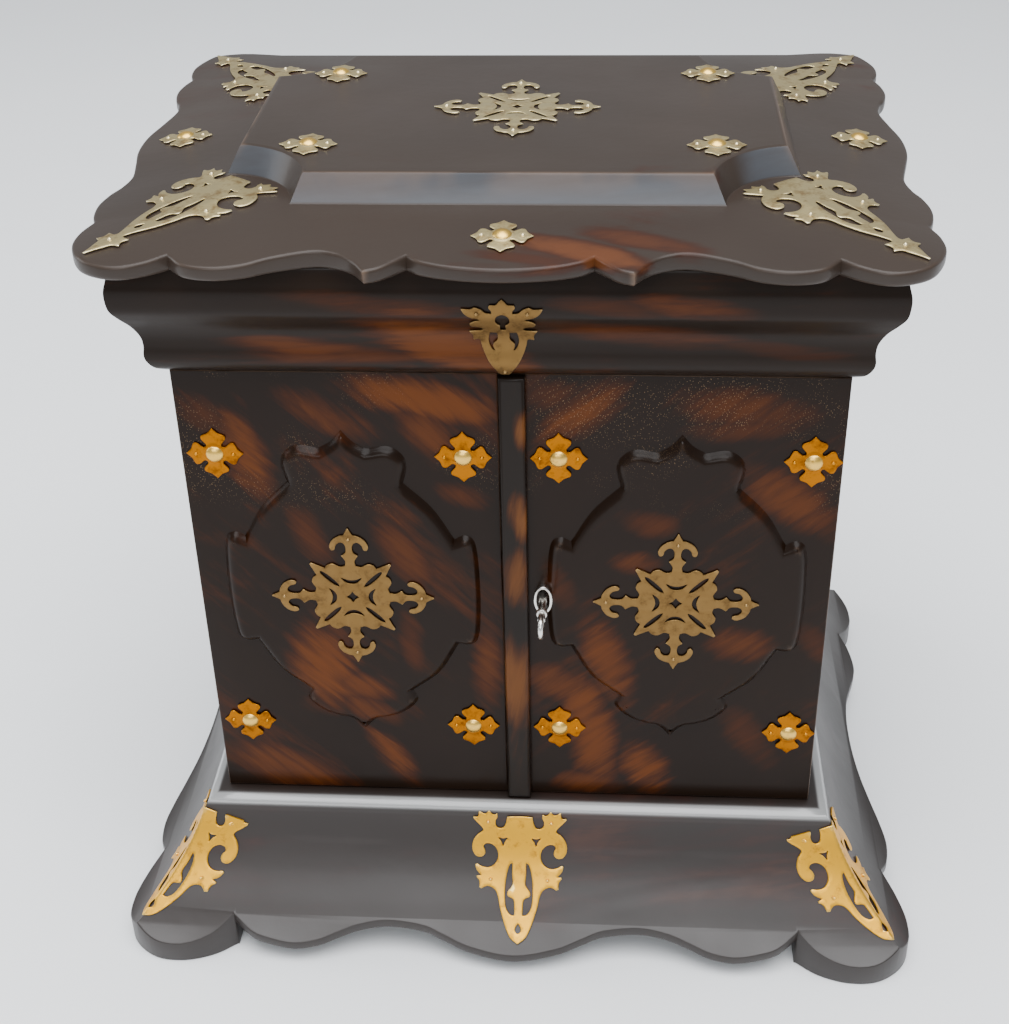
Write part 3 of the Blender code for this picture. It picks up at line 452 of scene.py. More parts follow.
bead_outs = [BEAD_OUT * (BEAD_FLAT + (1 - BEAD_FLAT) * sin(pi / 2 * k / 8)) for k in range(9)]
sweep_outs = [BEAD_OUT + BEAD_QUIRK + run_out * k / 24 for k in range(24)]
plinth_lines = [frame_line(out) for out in bead_outs + sweep_outs]
plinth_lines += mitres(0, COVE_OUT)
far = COVE_OUT + HALF_W
for x in (HALF_W - FOOT_IN, HALF_W - FOOT_IN + FOOT_WALL):
    plinth_lines += [[(sx * x, -far), (sx * x, far)] for sx in (-1, 1)]
for y in (HALF_D - FOOT_IN, HALF_D - FOOT_IN + FOOT_WALL):
    plinth_lines += [[(-far, sy * y), (far, sy * y)] for sy in (-1, 1)]


def lacquer(name, ground, figure, amount=0.5, turn=0.6, shift=(0, 0, 0), strokes=(), rise="Z",
            speckled=None, crazed=0.0, reflection_from=None, rough=0.24, shine=0.10, highlight_top=1.0, worn=0.0,
            shown=("Y", FACE_Y + 0.004, FACE_Y + 0.001)):
    """Japanned lacquer: a near-black ground under a brown figure that is brushed on, and an uneven gloss.
    A stroke is its middle in x and the rising axis, its reach along and across, its turn and its strength.
    The strokes show on one side of the piece: not at the first place on an axis, and fully from the second.
    Pale specks start at a height, over another a painted reflection lies on slopes that face the front, and
    just under a third a grey highlight is painted in a band that is also glossier. Its edges are worn to the
    wood in places."""
    shader, spot, made = finish(name)
    turned = spot.stretched((1, 1, 1), (0, turn, 0), shift)
    cloud = turned.stretched((7, 10, 16)).noise(1.0, 5.0, 0.6, 0.6)
    brush = turned.stretched((26, 80, 230)).noise(1.0, 3.0, 0.65, 0.5)
    mask = (cloud * 0.75 + brush * 0.25).between(0.60 - 0.2 * amount, 0.84 - 0.2 * amount) * 0.7
    across = spot.axis("X")
    height = spot.axis(rise)
    axis, hidden, seen = shown
    front = spot.axis(axis).between(hidden, seen)
    mask = mask * (front * 0.6 + 0.4)
    hairs = (cloud - 0.5) * 1.7 + (brush - 0.5) * 1.5
    for (px, pz), (long, wide), lean, strength in strokes:
        c = cos(lean)
        s = sin(lean)
        u = (across * c + height * s - (px * c + pz * s)) / long
        v = (height * c - across * s - (pz * c - px * s)) / wide
        mask = mask.most((1 - (u * u + v * v) * 0.62 + hairs).between(-0.25, 1.35) * front * strength)
    red = colour(figure[0] * 0.34, figure[1] * 0.30, figure[2] * 0.42)
    shade = spot.noise(9.0, 2.0).blend(ground, colour(*(0.55 * c for c in ground[:3])))
    tone = mask.between(0.02, 0.50).blend(shade, mask.between(0.32, 1.0).blend(red, figure))
    if speckled:
        cells = spot.node("TexVoronoi", None, {"Scale": 210.0})
        specks = (1 - cells.between(0.10, 0.22)) * spot.noise(22.0).between(0.46, 0.58)
        specks = specks * spot.axis("Z").between(speckled, speckled + 0.02)
        tone = (specks * 0.75).blend(tone, colour(0.30, 0.19, 0.10))
    # Painted reflection: a grey-blue tone on slopes that face the front, where the window's reflection would
    # show.
    if reflection_from:
        slope = spot.node("TexCoord", output="Normal").axis("Y").between(-0.5, -0.75)
        near_front = spot.axis("Y").between(-0.040, -0.045)
        painted_reflection = slope * near_front * spot.axis("Z").between(reflection_from, reflection_from + 0.001) * (0.5 + brush * 0.6)
        tone = painted_reflection.blend(tone, colour(0.050, 0.054, 0.062))
    gloss = spot.noise(26.0, 3.0)
    if worn:
        edges = spot.node("NewGeometry", output="Pointiness").between(0.52, 0.60)
        tone = (edges * gloss.between(0.35, 0.55) * worn).blend(tone, colour(0.170, 0.110, 0.075))
    # Painted highlight: a pale grey band on the plinth's bead, just under the given height, which is also
    # given a glossier coat.
    highlight_and_gloss = spot.axis("Z").between(highlight_top - 0.0050, highlight_top - 0.0024)
    highlight_and_gloss = highlight_and_gloss * (1 - spot.axis("Z").between(highlight_top - 0.0009, highlight_top - 0.0003))
    tone = (highlight_and_gloss * 0.8).blend(tone, colour(0.300, 0.300, 0.295))
    relief = spot.noise(230.0, 2.0) * 0.5 + spot.noise(38.0, 2.0) * 1.2 + brush * 0.3
    if crazed:
        cells = spot.stretched((60, 60, 100)).node("TexVoronoi", {"feature": "DISTANCE_TO_EDGE"},
                                                   {"Scale": 1.4})
        relief = relief + cells.between(0.0, 0.06) * crazed * spot.noise(14.0).between(0.45, 0.6)
    dress(shader, Base_Color=tone, Roughness=rough + gloss * 0.18 - highlight_and_gloss * 0.12, Specular_IOR_Level=shine,
          Coat_Weight=0.08 + highlight_and_gloss * 0.9, Coat_Roughness=0.15, Normal=bumped(relief, 0.00018, 0.5))
    return made


GROUND = colour(0.0110, 0.0046, 0.0018)
FIGURE = colour(0.092, 0.0230, 0.0014)
# The plinth's lacquer carries a painted grey highlight along its bead.
dark_lacquer = lacquer("dark_lacquer", colour(0.0140, 0.0072, 0.0045), colour(0.045, 0.014, 0.005), 0.75, 0.1,
                       crazed=1.6, rough=0.36, shine=0.55, highlight_top=PLINTH_TOP)
base_line = scalloped(BASE_FRONT, BASE_LOBE, BASE_SIDE, BASE_BACK, plinth_low, plinth_high)
plinth = board([base_line], plinth_z, plinth_under, BASE_EASE, lines=plinth_lines)
settle(plinth, "scalloped_plinth", dark_lacquer, "case", "plinth", sharp=40)

# The carcase: a box of boards with an open front, lacquered outside and lined with plain stained wood.
# Its top is the floor of the shallow well under the lid.
case_lacquer, spot, case_finish = finish("case_lacquer")
LINING_IN = 0.004         # where the lining's colour starts, in from the outer faces
inner = (abs(spot.axis("X")) - (HALF_W - LINING_IN)).most(abs(spot.axis("Y")) - (HALF_D - LINING_IN))
inner = inner.between(-0.0008, 0.0008)
grain = spot.stretched((18, 18, 160)).noise(1.0, 4.0, 0.6, 0.5)
lining = grain.blend(colour(0.060, 0.028, 0.016), colour(0.110, 0.055, 0.030))
outside = spot.stretched((12, 12, 26), (0.4, 0.5, 0)).noise(0.6, 4.0, 0.6, 0.8).between(0.50, 0.72)
skin = outside.blend(GROUND, colour(0.060, 0.022, 0.008))
dress(case_lacquer, Base_Color=inner.blend(lining, skin), Roughness=0.62 - inner * 0.32,
      Coat_Weight=inner * 0.25, Coat_Roughness=0.12, Normal=bumped(grain, 0.00012, 0.5))
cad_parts["carcase"].data.materials.clear()
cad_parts["carcase"].data.materials.append(case_finish)

# The cornice: a moulding of the same lacquered wood, mitred and glued round the well. It carries the lid and,
# in front, the lock plate.
# Its face from its foot: (out from the body, share of its height)
CORNICE = [(0.0008, 0), (0.0045, 0.049), (0.0068, 0.118), (0.0076, 0.182), (0.0072, 0.265),
           (0.0078, 0.351), (0.0103, 0.455), (0.0140, 0.555), (0.0165, 0.636), (0.0173, 0.727),
           (0.0172, 0.809), (0.0160, 0.891), (0.0145, 1)]
CORNICE_EASE = 0.0006
cornice_low, cornice_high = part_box("cornice")
CORNICE_H = cornice_high.z - cornice_low.z
WELL_IN = 0.0090
profile = [(out, cornice_low.z + share * CORNICE_H) for out, share in CORNICE]
rim_out = profile[-1][0]
cornice_face = smooth_run(profile, 5) + [(rim_out, cornice_high.z - CORNICE_EASE)]
moulding = cornice_face + [(rim_out - CORNICE_EASE, cornice_high.z), (CORNICE_EASE - WELL_IN, cornice_high.z),
                           (-WELL_IN, cornice_high.z - CORNICE_EASE), (-WELL_IN, cornice_low.z)]


def mitred(line):
    """Rings round the body, mitred at its corners, from (out from the body, height)."""
    corners = [(-1, -1), (1, -1), (1, 1), (-1, 1)]
    return [[(sx * (HALF_W + out), sy * (HALF_D + out), z) for sx, sy in corners] for out, z in line]


def joined(bm, rings, closed=False):
    """Adds faces between rings of as many points each, and from the last to the first if closed."""
    rows = [[bm.verts.new(p) for p in ring] for ring in rings]
    for under, over in zip(rows, rows[1:] + (rows[:1] if closed else [])):
        for n in range(len(under)):
            m = (n + 1) % len(under)
            bm.faces.new((under[n], under[m], over[m], over[n]))
    return rows


def loft(rings, closed=False):
    """Joined rings. Closed, they make a loop, and otherwise both ends are capped."""
    bm = bmesh.new()
    rows = joined(bm, rings, closed)
    if not closed:
        bm.faces.new(rows[0])
        bm.faces.new(rows[-1])
    return bm


cornice_strokes = [
    ((-0.027, 0.329), (0.036, 0.011), -0.3, 1.00), ((-0.034, 0.345), (0.025, 0.006), -0.1, 0.75),
    ((-0.086, 0.324), (0.032, 0.005), -0.1, 0.70), ((-0.055, 0.348), (0.034, 0.005), -0.1, 0.60),
    ((-0.072, 0.320), (0.038, 0.004), 0.0, 0.60), ((-0.021, 0.332), (0.022, 0.005), -0.1, 0.90),
    ((0.053, 0.333), (0.042, 0.006), -0.1, 0.60), ((0.075, 0.348), (0.026, 0.005), -0.1, 0.65),
    ((0.043, 0.348), (0.024, 0.005), -0.1, 0.50), ((0.113, 0.325), (0.028, 0.004), -0.1, 0.40)]
cornice_lacquer = lacquer("cornice_lacquer", colour(0.0120, 0.0058, 0.0028), FIGURE, 0.55, 0.05,
                          (0.3, 0, 0.1), cornice_strokes)
settle(loft(mitred(moulding), closed=True), "moulded_cornice", cornice_lacquer, "case",
       "cornice", sharp=45)

# The lid: a board cut to a scalloped outline, planed to low slopes, with a raised panel whose corners are
# hollowed. Its edge is a worn bullnose. It is hollow under the panel and swings up on two hinges at the back.
LID_FRONT = [(0, 0.0307), (0.130, 0.0287), (0.215, 0.0247), (0.256, 0.0200, "corner"), (0.317, 0.0292),
             (0.364, 0.0326, "corner"), (0.405, 0.0240), (0.455, 0.0189), (0.518, 0.0173), (0.621, 0.0224),
             (0.697, 0.0284), (0.780, 0.0308), (0.862, 0.0283)]
LID_LOBE = [(-0.0124, 0.0209, "corner"), (-0.0050, 0.0268), (0.0050, 0.0307), (0.0150, 0.0291),
            (0.0240, 0.0225), (0.0298, 0.0090), (0.0300, -0.0030), (0.0268, -0.0137, "corner")]
LID_SIDE = [(0.790, 0.0295), (0.690, 0.0305), (0.587, 0.0285), (0.510, 0.0253), (0.400, 0.0236),
            (0.250, 0.0262), (0.110, 0.0292), (0, 0.0300)]
LID_BACK = 0.0268
LID_EDGE = 0.0060
LID_REACH = 0.0330
RAMP_RISE = 0.0056
PANEL_INSET = 0.0215
PANEL_RUN = 0.0065
PANEL_LAP = 0.0015
SCOOP_R = 0.0330
LID_SKIN = 0.0075
LID_HOLLOW_IN = 0.0070
LID_EASE = 0.0016         # the bullnose's reach in, and its fall over and under
LID_FALL = 0.0016
LID_UNDER = 0.0022
lid_low, lid_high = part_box("lid")
RIM_Z = lid_low.z + LID_EDGE
FOOT_Z = RIM_Z + RAMP_RISE
PANEL_Z = lid_high.z
SLOPE = RAMP_RISE / (LID_REACH + PANEL_INSET)
# The panel's edge from its foot: (in from the foot, share of its rise)
PANEL_LINE = [(0, 0), (0.0004, 0.030), (0.0056, 0.895), (0.0062, 0.965), (0.0070, 0.992), (0.0082, 1.0)]


def roof_z(x, y):
    """The height of the lid's slopes over a place in plan."""
    return RIM_Z + SLOPE * (LID_REACH - max(away(x, y), -PANEL_INSET - PANEL_LAP))


def scooped(inward, z, steps=12):
    """The panel's outline at a distance in from its foot."""
    radius = SCOOP_R + inward
    turn = asin(inward / radius)
    quarter = []
    for k in range(steps + 1):
        angle = turn + (pi / 2 - 2 * turn) * k / steps
        quarter.append((HALF_W - PANEL_INSET - radius * sin(angle),
                        HALF_D - PANEL_INSET - radius * cos(angle)))
    quarter.reverse()
    ring = [(x, -y, z) for x, y in quarter]
    ring += [(x, y, z) for x, y in reversed(quarter)]
    ring += [(-x, -y, z) for x, y, _ in ring]
    return ring + ring[:1]


def lid_z(x, y):
    """The lid's upper face, on the panel or off it."""
    if within([(x, y)], [[p[:2] for p in scooped(PANEL_RUN, 0)]])[0]:
        return PANEL_Z
    return roof_z(x, y)


lid_lines = [[(x, y, roof_z(x, y)) for x, y, _ in scooped(0, 0)]]
lid_lines += [scooped(inward, FOOT_Z + share * (PANEL_Z - FOOT_Z)) for inward, share in PANEL_LINE[1:]]
lid_lines += mitres(-PANEL_INSET - PANEL_LAP, LID_REACH)
lid_outline = scalloped(LID_FRONT, LID_LOBE, LID_SIDE, LID_BACK, lid_low, lid_high)
lid_board = board([lid_outline], lid_z, lambda x, y: lid_low.z, LID_EASE, LID_FALL, LID_UNDER, lid_lines,
                  steps=4)
lid_strokes = [((0.035, -0.123), (0.028, 0.007), -0.4, 0.90), ((0.057, -0.114), (0.026, 0.006), -0.3, 0.60),
               ((0.008, -0.128), (0.022, 0.004), -0.2, 0.45)]
# The lid's ground is lighter and greyer than the doors': painted reflection of the bright room on its top.
lid_lacquer = lacquer("lid_lacquer", colour(0.0350, 0.0235, 0.0170), colour(0.080, 0.024, 0.006), 0.30, 0.1,
                      (0.7, 0, 0.2), lid_strokes, rise="Y", reflection_from=FOOT_Z, rough=0.30, shine=0.22, worn=0.6,
                      shown=("Z", lid_low.z + 0.002, lid_low.z + 0.004))
lid_piece = settle(lid_board, "panelled_lid", lid_lacquer, "lid", "lid", sharp=25)
hollow_in = PANEL_RUN + LID_HOLLOW_IN
hollow = loft([scooped(hollow_in, z)[:-1] for z in (lid_low.z - LID_EDGE, PANEL_Z - LID_SKIN)])
bmesh.ops.recalc_face_normals(hollow, faces=hollow.faces)
hollow_mesh = bpy.data.meshes.new("lid_hollow")
hollow.to_mesh(hollow_mesh)
hollow.free()
cutter = bpy.data.objects.new("lid_hollow", hollow_mesh)
bpy.context.scene.collection.objects.link(cutter)
cut = lid_piece.modifiers.new("hollow", "BOOLEAN")
cut.operation = "DIFFERENCE"
cut.object = cutter
bpy.context.view_layer.update()
carved = bpy.data.meshes.new_from_object(lid_piece.evaluated_get(bpy.context.evaluated_depsgraph_get()))
lid_piece.modifiers.clear()
lid_piece.data = carved
bpy.data.objects.remove(cutter)

# The doors: boards with rounded front edges and a raised cartouche carved in one with each, under a lacquer
# with the strongest figure of the whole box. They turn on pins at their outer back edges.
CARTOUCHE = [(0, 1.0, "corner"), (0.080, 0.935), (0.180, 0.893, "corner"), (0.330, 0.910), (0.430, 0.875),
             (0.478, 0.805), (0.445, 0.690, "corner"), (0.655, 0.540), (0.815, 0.350, "corner"),
             (0.900, 0.375), (0.978, 0.310), (1.0, 0.0), (0.978, -0.290), (0.905, -0.355),
             (0.815, -0.350, "corner"), (0.650, -0.560), (0.425, -0.700, "corner"), (0.455, -0.775),
             (0.350, -0.860), (0.215, -0.905), (0.100, -0.925), (0, -1.0, "corner")]
CARTOUCHE_RISE = 0.0035
CARTOUCHE_HALF_W = 0.0588
CARTOUCHE_UP = 0.0864
CARTOUCHE_DOWN = 0.0818
CARTOUCHE_X = 0.0742
CARTOUCHE_Z = 0.19375
FACE_MID = 0.0012
DOOR_EASE = 0.0007
# The cartouche's edge from its foot: (in from the foot, share of its rise)
CARTOUCHE_LINE = [(0, 0), (0.0005, 0.14), (0.0012, 0.42), (0.0021, 0.72), (0.0031, 0.91), (0.0043, 0.99),
                  (0.0056, 1.0)]
door_strokes = {
    "left": [((-0.078, 0.287), (0.023, 0.008), -0.5, 0.75), ((-0.038, 0.296), (0.033, 0.009), -0.2, 1.00),
             ((-0.035, 0.279), (0.020, 0.008), -0.9, 0.70), ((-0.117, 0.266), (0.023, 0.010), -1.2, 0.95),
             ((-0.090, 0.226), (0.017, 0.008), -1.1, 0.60), ((-0.049, 0.218), (0.020, 0.008), -1.0, 0.65),
             ((-0.090, 0.154), (0.025, 0.015), -1.4, 0.95), ((-0.074, 0.141), (0.017, 0.008), -0.2, 0.80),
             ((-0.047, 0.169), (0.019, 0.006), -1.5, 0.50), ((-0.118, 0.085), (0.030, 0.013), -0.3, 0.75),
             ((-0.060, 0.095), (0.022, 0.007), -1.0, 0.95), ((-0.012, 0.149), (0.023, 0.008), -1.5, 0.80),
             ((-0.020, 0.247), (0.013, 0.006), -0.3, 0.60), ((-0.132, 0.286), (0.017, 0.008), -0.7, 0.50),
             ((-0.069, 0.126), (0.016, 0.007), -0.6, 0.70), ((-0.094, 0.125), (0.011, 0.006), -0.3, 0.45)],
    "right": [((0.032, 0.290), (0.022, 0.010), 0.7, 0.85), ((0.019, 0.299), (0.012, 0.007), 0.2, 0.50),
              ((0.100, 0.293), (0.029, 0.010), -0.1, 0.65), ((0.101, 0.283), (0.024, 0.006), 0.1, 0.55),
              ((0.124, 0.247), (0.026, 0.011), -0.6, 0.70), ((0.063, 0.236), (0.013, 0.007), -0.2, 0.55),
              ((0.057, 0.215), (0.011, 0.006), 0.0, 0.65), ((0.045, 0.156), (0.027, 0.011), -1.3, 0.85),
              ((0.105, 0.171), (0.015, 0.010), -0.1, 0.70), ((0.023, 0.142), (0.020, 0.010), -0.4, 0.70),
              ((0.037, 0.114), (0.038, 0.012), -1.4, 0.90), ((0.064, 0.091), (0.016, 0.012), -1.1, 1.10),
              ((0.037, 0.081), (0.017, 0.007), 0.0, 0.75), ((0.113, 0.112), (0.021, 0.010), -1.0, 0.50),
              ((0.141, 0.169), (0.013, 0.007), -0.9, 0.45), ((0.022, 0.202), (0.013, 0.007), -1.2, 0.45)]}
SPECKS_FROM = 0.235


def cartouche_ring(middle, inward, height):
    """The cartouche's outline at a distance in from its foot."""
    outline = [(middle + x * CARTOUCHE_HALF_W, CARTOUCHE_Z + z * (CARTOUCHE_UP if z > 0 else CARTOUCHE_DOWN))
               for x, z in reversed(cartouche_line)]
    ring = [(x, z, height) for x, z in (inset(outline, inward) if inward else outline)]
    return ring + ring[:1]


def out_of_face(x, z, h):
    """A place on the doors' faces and so far out of them."""
    return x, FACE_Y - h, z


cartouche_line = trace(mirrored(CARTOUCHE), 5)
for side, sign in (("left", -1), ("right", 1)):
    low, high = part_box(f"{side}_door")
    middle = FACE_MID + sign * CARTOUCHE_X
    corners = [(low.x, low.z), (high.x, low.z), (high.x, high.z), (low.x, high.z)]
    lines = [cartouche_ring(middle, inward, share * CARTOUCHE_RISE) for inward, share in CARTOUCHE_LINE]
    ring = [p[:2] for p in lines[-1]]
    thick = high.y - FACE_Y

    def door_z(x, z):
        return CARTOUCHE_RISE if within([(x, z)], [ring])[0] else 0.0

    door = board([corners], door_z, lambda x, z: -thick, DOOR_EASE, lines=lines)
    skin = lacquer(f"{side}_door_lacquer", GROUND, FIGURE, 0.55, {"left": -0.8, "right": 0.7}[side],
                   (sign, 0, 0), door_strokes[side], speckled=SPECKS_FROM, worn=0.3)
    settle(door, f"{side}_door_board", skin, f"{side}_door", f"{side}_door",
           place=out_of_face)

# The cover strip: a thin moulding with rounded edges, lacquered like the doors. It is glued to the right
# door's inner edge and covers the joint.
GAP = 0.0003              # the air between pieces that touch
STRIP_EASE = 0.0018
LEAST_EASE = 0.0001       # of an edge that lies on another piece
low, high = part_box("cover_strip")
strip = board([[(low.x, low.z), (high.x, low.z), (high.x, high.z), (low.x, high.z)]],
              lambda x, z: FACE_Y - low.y, lambda x, z: GAP, STRIP_EASE, lower=LEAST_EASE)
strip_strokes = [((0.007, 0.283), (0.009, 0.004), -1.5, 0.80), ((0.005, 0.239), (0.012, 0.005), -1.5, 0.85),
                 ((0.003, 0.206), (0.016, 0.006), 1.6, 0.75), ((0.002, 0.145), (0.023, 0.008), 1.6, 0.80)]
strip_lacquer = lacquer("strip_lacquer", colour(0.0120, 0.0078, 0.0056), colour(0.120, 0.042, 0.009), 0.4,
                        1.4, (2.3, 0, 0.4), strip_strokes)
settle(strip, "door_cover_strip", strip_lacquer, "right_door", "cover_strip",
       place=out_of_face)


# Rosettes: pressed brass leaves of four petals round a domed nail, with a small pin through each side petal.
# Those on the lid have gone pale, and those on the doors keep an orange lacquer.
def brass(name, bright, dull, share, rough, edge):
    """Brass that is dulled in clouds and rubbed bright along its edges."""
    shader, spot, made = finish(name)
    cloud = spot.noise(160.0, 4.0, 0.6, 0.3)
    fine = spot.noise(900.0, 2.0)
    worn = spot.node("NewGeometry", output="Pointiness").between(0.52, 0.60)
    tone = (cloud * 0.8 + fine * 0.2).between(0.62 - share * 0.4, 0.86 - share * 0.4).blend(bright, dull)
    dress(shader, Base_Color=(worn * 0.8).blend(tone, edge), Metallic=1.0,
          Roughness=rough + cloud * 0.18 - worn * 0.08, Normal=bumped(cloud, 0.00008, 0.5))
    return made


door_brass = brass("door_brass", colour(0.33, 0.110, 0.002), colour(0.14, 0.040, 0.001), 0.36, 0.30,
                   colour(0.66, 0.29, 0.02))
base_brass = brass("base_brass", colour(0.76, 0.385, 0.022), colour(0.40, 0.17, 0.015), 0.27, 0.32,
                   colour(0.96, 0.72, 0.25))
lid_brass = brass("lid_brass", colour(0.54, 0.44, 0.22), colour(0.28, 0.185, 0.075), 0.42, 0.34,
                  colour(0.96, 0.84, 0.55))
aged_brass = brass("aged_brass", colour(0.175, 0.100, 0.033), colour(0.085, 0.045, 0.015), 0.35, 0.42,
                   colour(0.42, 0.27, 0.11))
nail_brass = brass("nail_brass", colour(0.74, 0.46, 0.095), colour(0.40, 0.21, 0.04), 0.25, 0.26,
                   colour(0.90, 0.66, 0.24))
BRASS_LOW = GAP
BRASS_TOP = 0.0010
BRASS_EASE = 0.00028
ROSETTE_R = 0.0128
PETAL = [(0.290, -0.290, "corner"), (0.370, -0.265), (0.470, -0.345), (0.580, -0.425), (0.700, -0.415),
         (0.760, -0.310, "corner"), (0.810, -0.190), (0.890, -0.105), (1.0, 0.0, "corner")]
PETAL += [(a, -b, *rest) for a, b, *rest in reversed(PETAL[1:-1])]
PETAL_LOW = 0.0002        # the petals' tips under the sheet's top
PETAL_SWELL = 0.00045
COLLAR_R = 0.0042
COLLAR_RISE = 0.0004
NAIL_R = 0.0044
NAIL_RISE = 0.00293
PIN_R = 0.00105
PIN_RISE = 0.0015
PIN_OUT = 0.0083
DIMPLE_R = 0.0019         # the rim pressed up round a pin
DIMPLE_RISE = 0.00018


def oval(width, height, sides=48):
    return [(width / 2 * cos(2 * pi * k / sides), height / 2 * sin(2 * pi * k / sides)) for k in range(sides)]


def dome(bm, x, y, radius, height, sides=12, rings=4):
    """Adds a domed nail head on the sheet's foot."""
    rounds = []
    for k in range(rings):
        a = pi / 2 * k / rings
        wide = 2 * radius * cos(a)
        rounds.append([(x + px, y + py, BRASS_LOW + height * sin(a)) for px, py in oval(wide, wide, sides)])
    rows = joined(bm, rounds)
    tip = bm.verts.new((x, y, BRASS_LOW + height))
    bm.faces.new(rows[0][::-1])
    for n in range(sides):
        bm.faces.new((rows[-1][n], rows[-1][(n + 1) % sides], tip))


def spun(points, k, unit):
    """Marked points turned by k quarter turns about the middle, in metres."""
    c, s = (1, 0, -1, 0)[k], (0, 1, 0, -1)[k]
    return [((c * x - s * y) * unit, (s * x + c * y) * unit, *rest) for x, y, *rest in points]


rosette_outline = trace([p for k in range(4) for p in spun(PETAL, k, ROSETTE_R)], 3)


def crown(distance, reach):
    """1 on a line and rounded off to 0 at this reach from it."""
    return max(0.0, 1 - (distance / reach) ** 2)


def rosette_z(x, y):
    """Each petal is pressed up along its middle and falls to its tip, and a low collar seats the nail."""
    r = hypot(x, y)
    swell = PETAL_SWELL * crown(r, ROSETTE_R)
    collar = COLLAR_RISE * crown(r - COLLAR_R, 0.0008)
    dimple = DIMPLE_RISE * crown(hypot(abs(x) - PIN_OUT, y) - DIMPLE_R, 0.0006)
    return BRASS_TOP - PETAL_LOW + swell + collar + dimple


def rosette(name, body, metal, turned, node):
    bm = board([rosette_outline], rosette_z, lambda x, y: BRASS_LOW, BRASS_EASE,
               spots=dots([rosette_outline], 0.0008), steps=2)
    for x in (-PIN_OUT, PIN_OUT):
        dome(bm, x, 0, PIN_R, PIN_RISE)
    plain = len(bm.faces)
    dome(bm, 0, 0, NAIL_R, NAIL_RISE, 20, 6)
    bm.faces.ensure_lookup_table()
    for face in bm.faces[plain:]:
        face.material_index = 1
    bm.transform(turned)
    piece = settle(bm, name, metal, body, node, sharp=50)
    piece.data.materials.append(nail_brass)
    return piece


lying = Matrix.Rotation(pi / 2, 4, "X")
DOOR_ROSETTE_X = (0.0209, 0.1309)
DOOR_ROSETTE_Z = (0.0432, 0.1951)
for side, sign in (("left", -1), ("right", 1)):
    for level_name, z in zip(("lower", "upper"), DOOR_ROSETTE_Z):
        for where, x in zip(("inner", "outer"), DOOR_ROSETTE_X):
            at = Matrix.Translation((FACE_MID + sign * x, FACE_Y, body_low.z + z)) @ lying
            rosette(f"{side}_door_petals_{level_name}_{where}", f"{side}_door", door_brass, at,
                    f"{side}_door_rosette_{level_name}_{where}")


def middle_of(node):
    low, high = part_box(node)
    return (low + high) / 2


tilt = atan(SLOPE)
lid_rosettes = {"left": Matrix.Rotation(-tilt, 4, "Y"), "right": Matrix.Rotation(tilt, 4, "Y"),
                "front": Matrix.Rotation(tilt, 4, "X")}
for where, turn in lid_rosettes.items():
    at = middle_of(f"lid_rosette_{where}")
    at.z = roof_z(at.x, at.y)
    rosette(f"lid_petals_{where}", "lid", lid_brass, Matrix.Translation(at) @ turn,
            f"lid_rosette_{where}")
for side in ("left", "right"):
    for where in ("front", "back"):
        at = middle_of(f"lid_panel_rosette_{where}_{side}")
        at.z = PANEL_Z
        rosette(f"lid_panel_petals_{where}_{side}", "lid", lid_brass, Matrix.Translation(at),
                f"lid_panel_rosette_{where}_{side}")

# Medallions: pierced brass sheet with four arms that end in anchors, and serrated leaves between them.
# One lies on the lid's panel and one on each cartouche, held by a pin near the end of each arm.
# The outlines of these mounts and of those below are in millimetres.
MM = 0.001
ARM = [(19.4, -19.4, "corner"), (17.4, -15.0), (16.0, -12.0, "corner"), (17.7, -10.6), (18.4, -8.0),
       (16.8, -4.9), (17.4, -2.5, "corner"), (20.0, -2.2), (22.9, -3.9, "corner"), (24.6, -1.9), (27.2, -1.5),
       (29.4, -2.2), (30.1, -3.9), (28.6, -5.8), (26.2, -6.6), (25.9, -8.2), (28.2, -8.9), (31.4, -7.4),
       (33.4, -4.6), (34.1, -2.2, "corner"), (36.0, -1.1), (38.3, 0, "corner")]
ARM += [(a, -b, *rest) for a, b, *rest in reversed(ARM[1:-1])]
SLIT = [(5.6, 5.6, "corner"), (7.9, 6.7), (11.6, 10.1), (13.9, 12.9), (14.3, 14.3, "corner"), (12.9, 13.9),
        (10.1, 11.6), (6.7, 7.9)]
CRESCENT = [(7.4, 0.0), (8.2, 2.7), (10.9, 5.0, "corner"), (9.7, 2.3), (9.3, 0.0), (9.7, -2.3),
            (10.9, -5.0, "corner"), (8.2, -2.7)]
EYE_HOLE = [(2.9, 0.0, "corner"), (1.2, 1.2), (0.0, 2.9, "corner"), (-1.2, 1.2), (-2.9, 0.0, "corner"),
            (-1.2, -1.2), (0.0, -2.9, "corner"), (1.2, -1.2)]
ARM_PIN = 31.9


def sheet(loops, spots=()):
    """Brass sheet cut to outlines, with its edges eased."""
    return board(loops, lambda x, y: BRASS_TOP, lambda x, y: BRASS_LOW, BRASS_EASE, spots=spots, steps=2)


def pinned(bm, spots, radius=0.0010):
    """Adds a pin's low head at each of these places, in millimetres."""
    for x, y in spots:
        dome(bm, x * MM, y * MM, radius, radius + 0.0006)


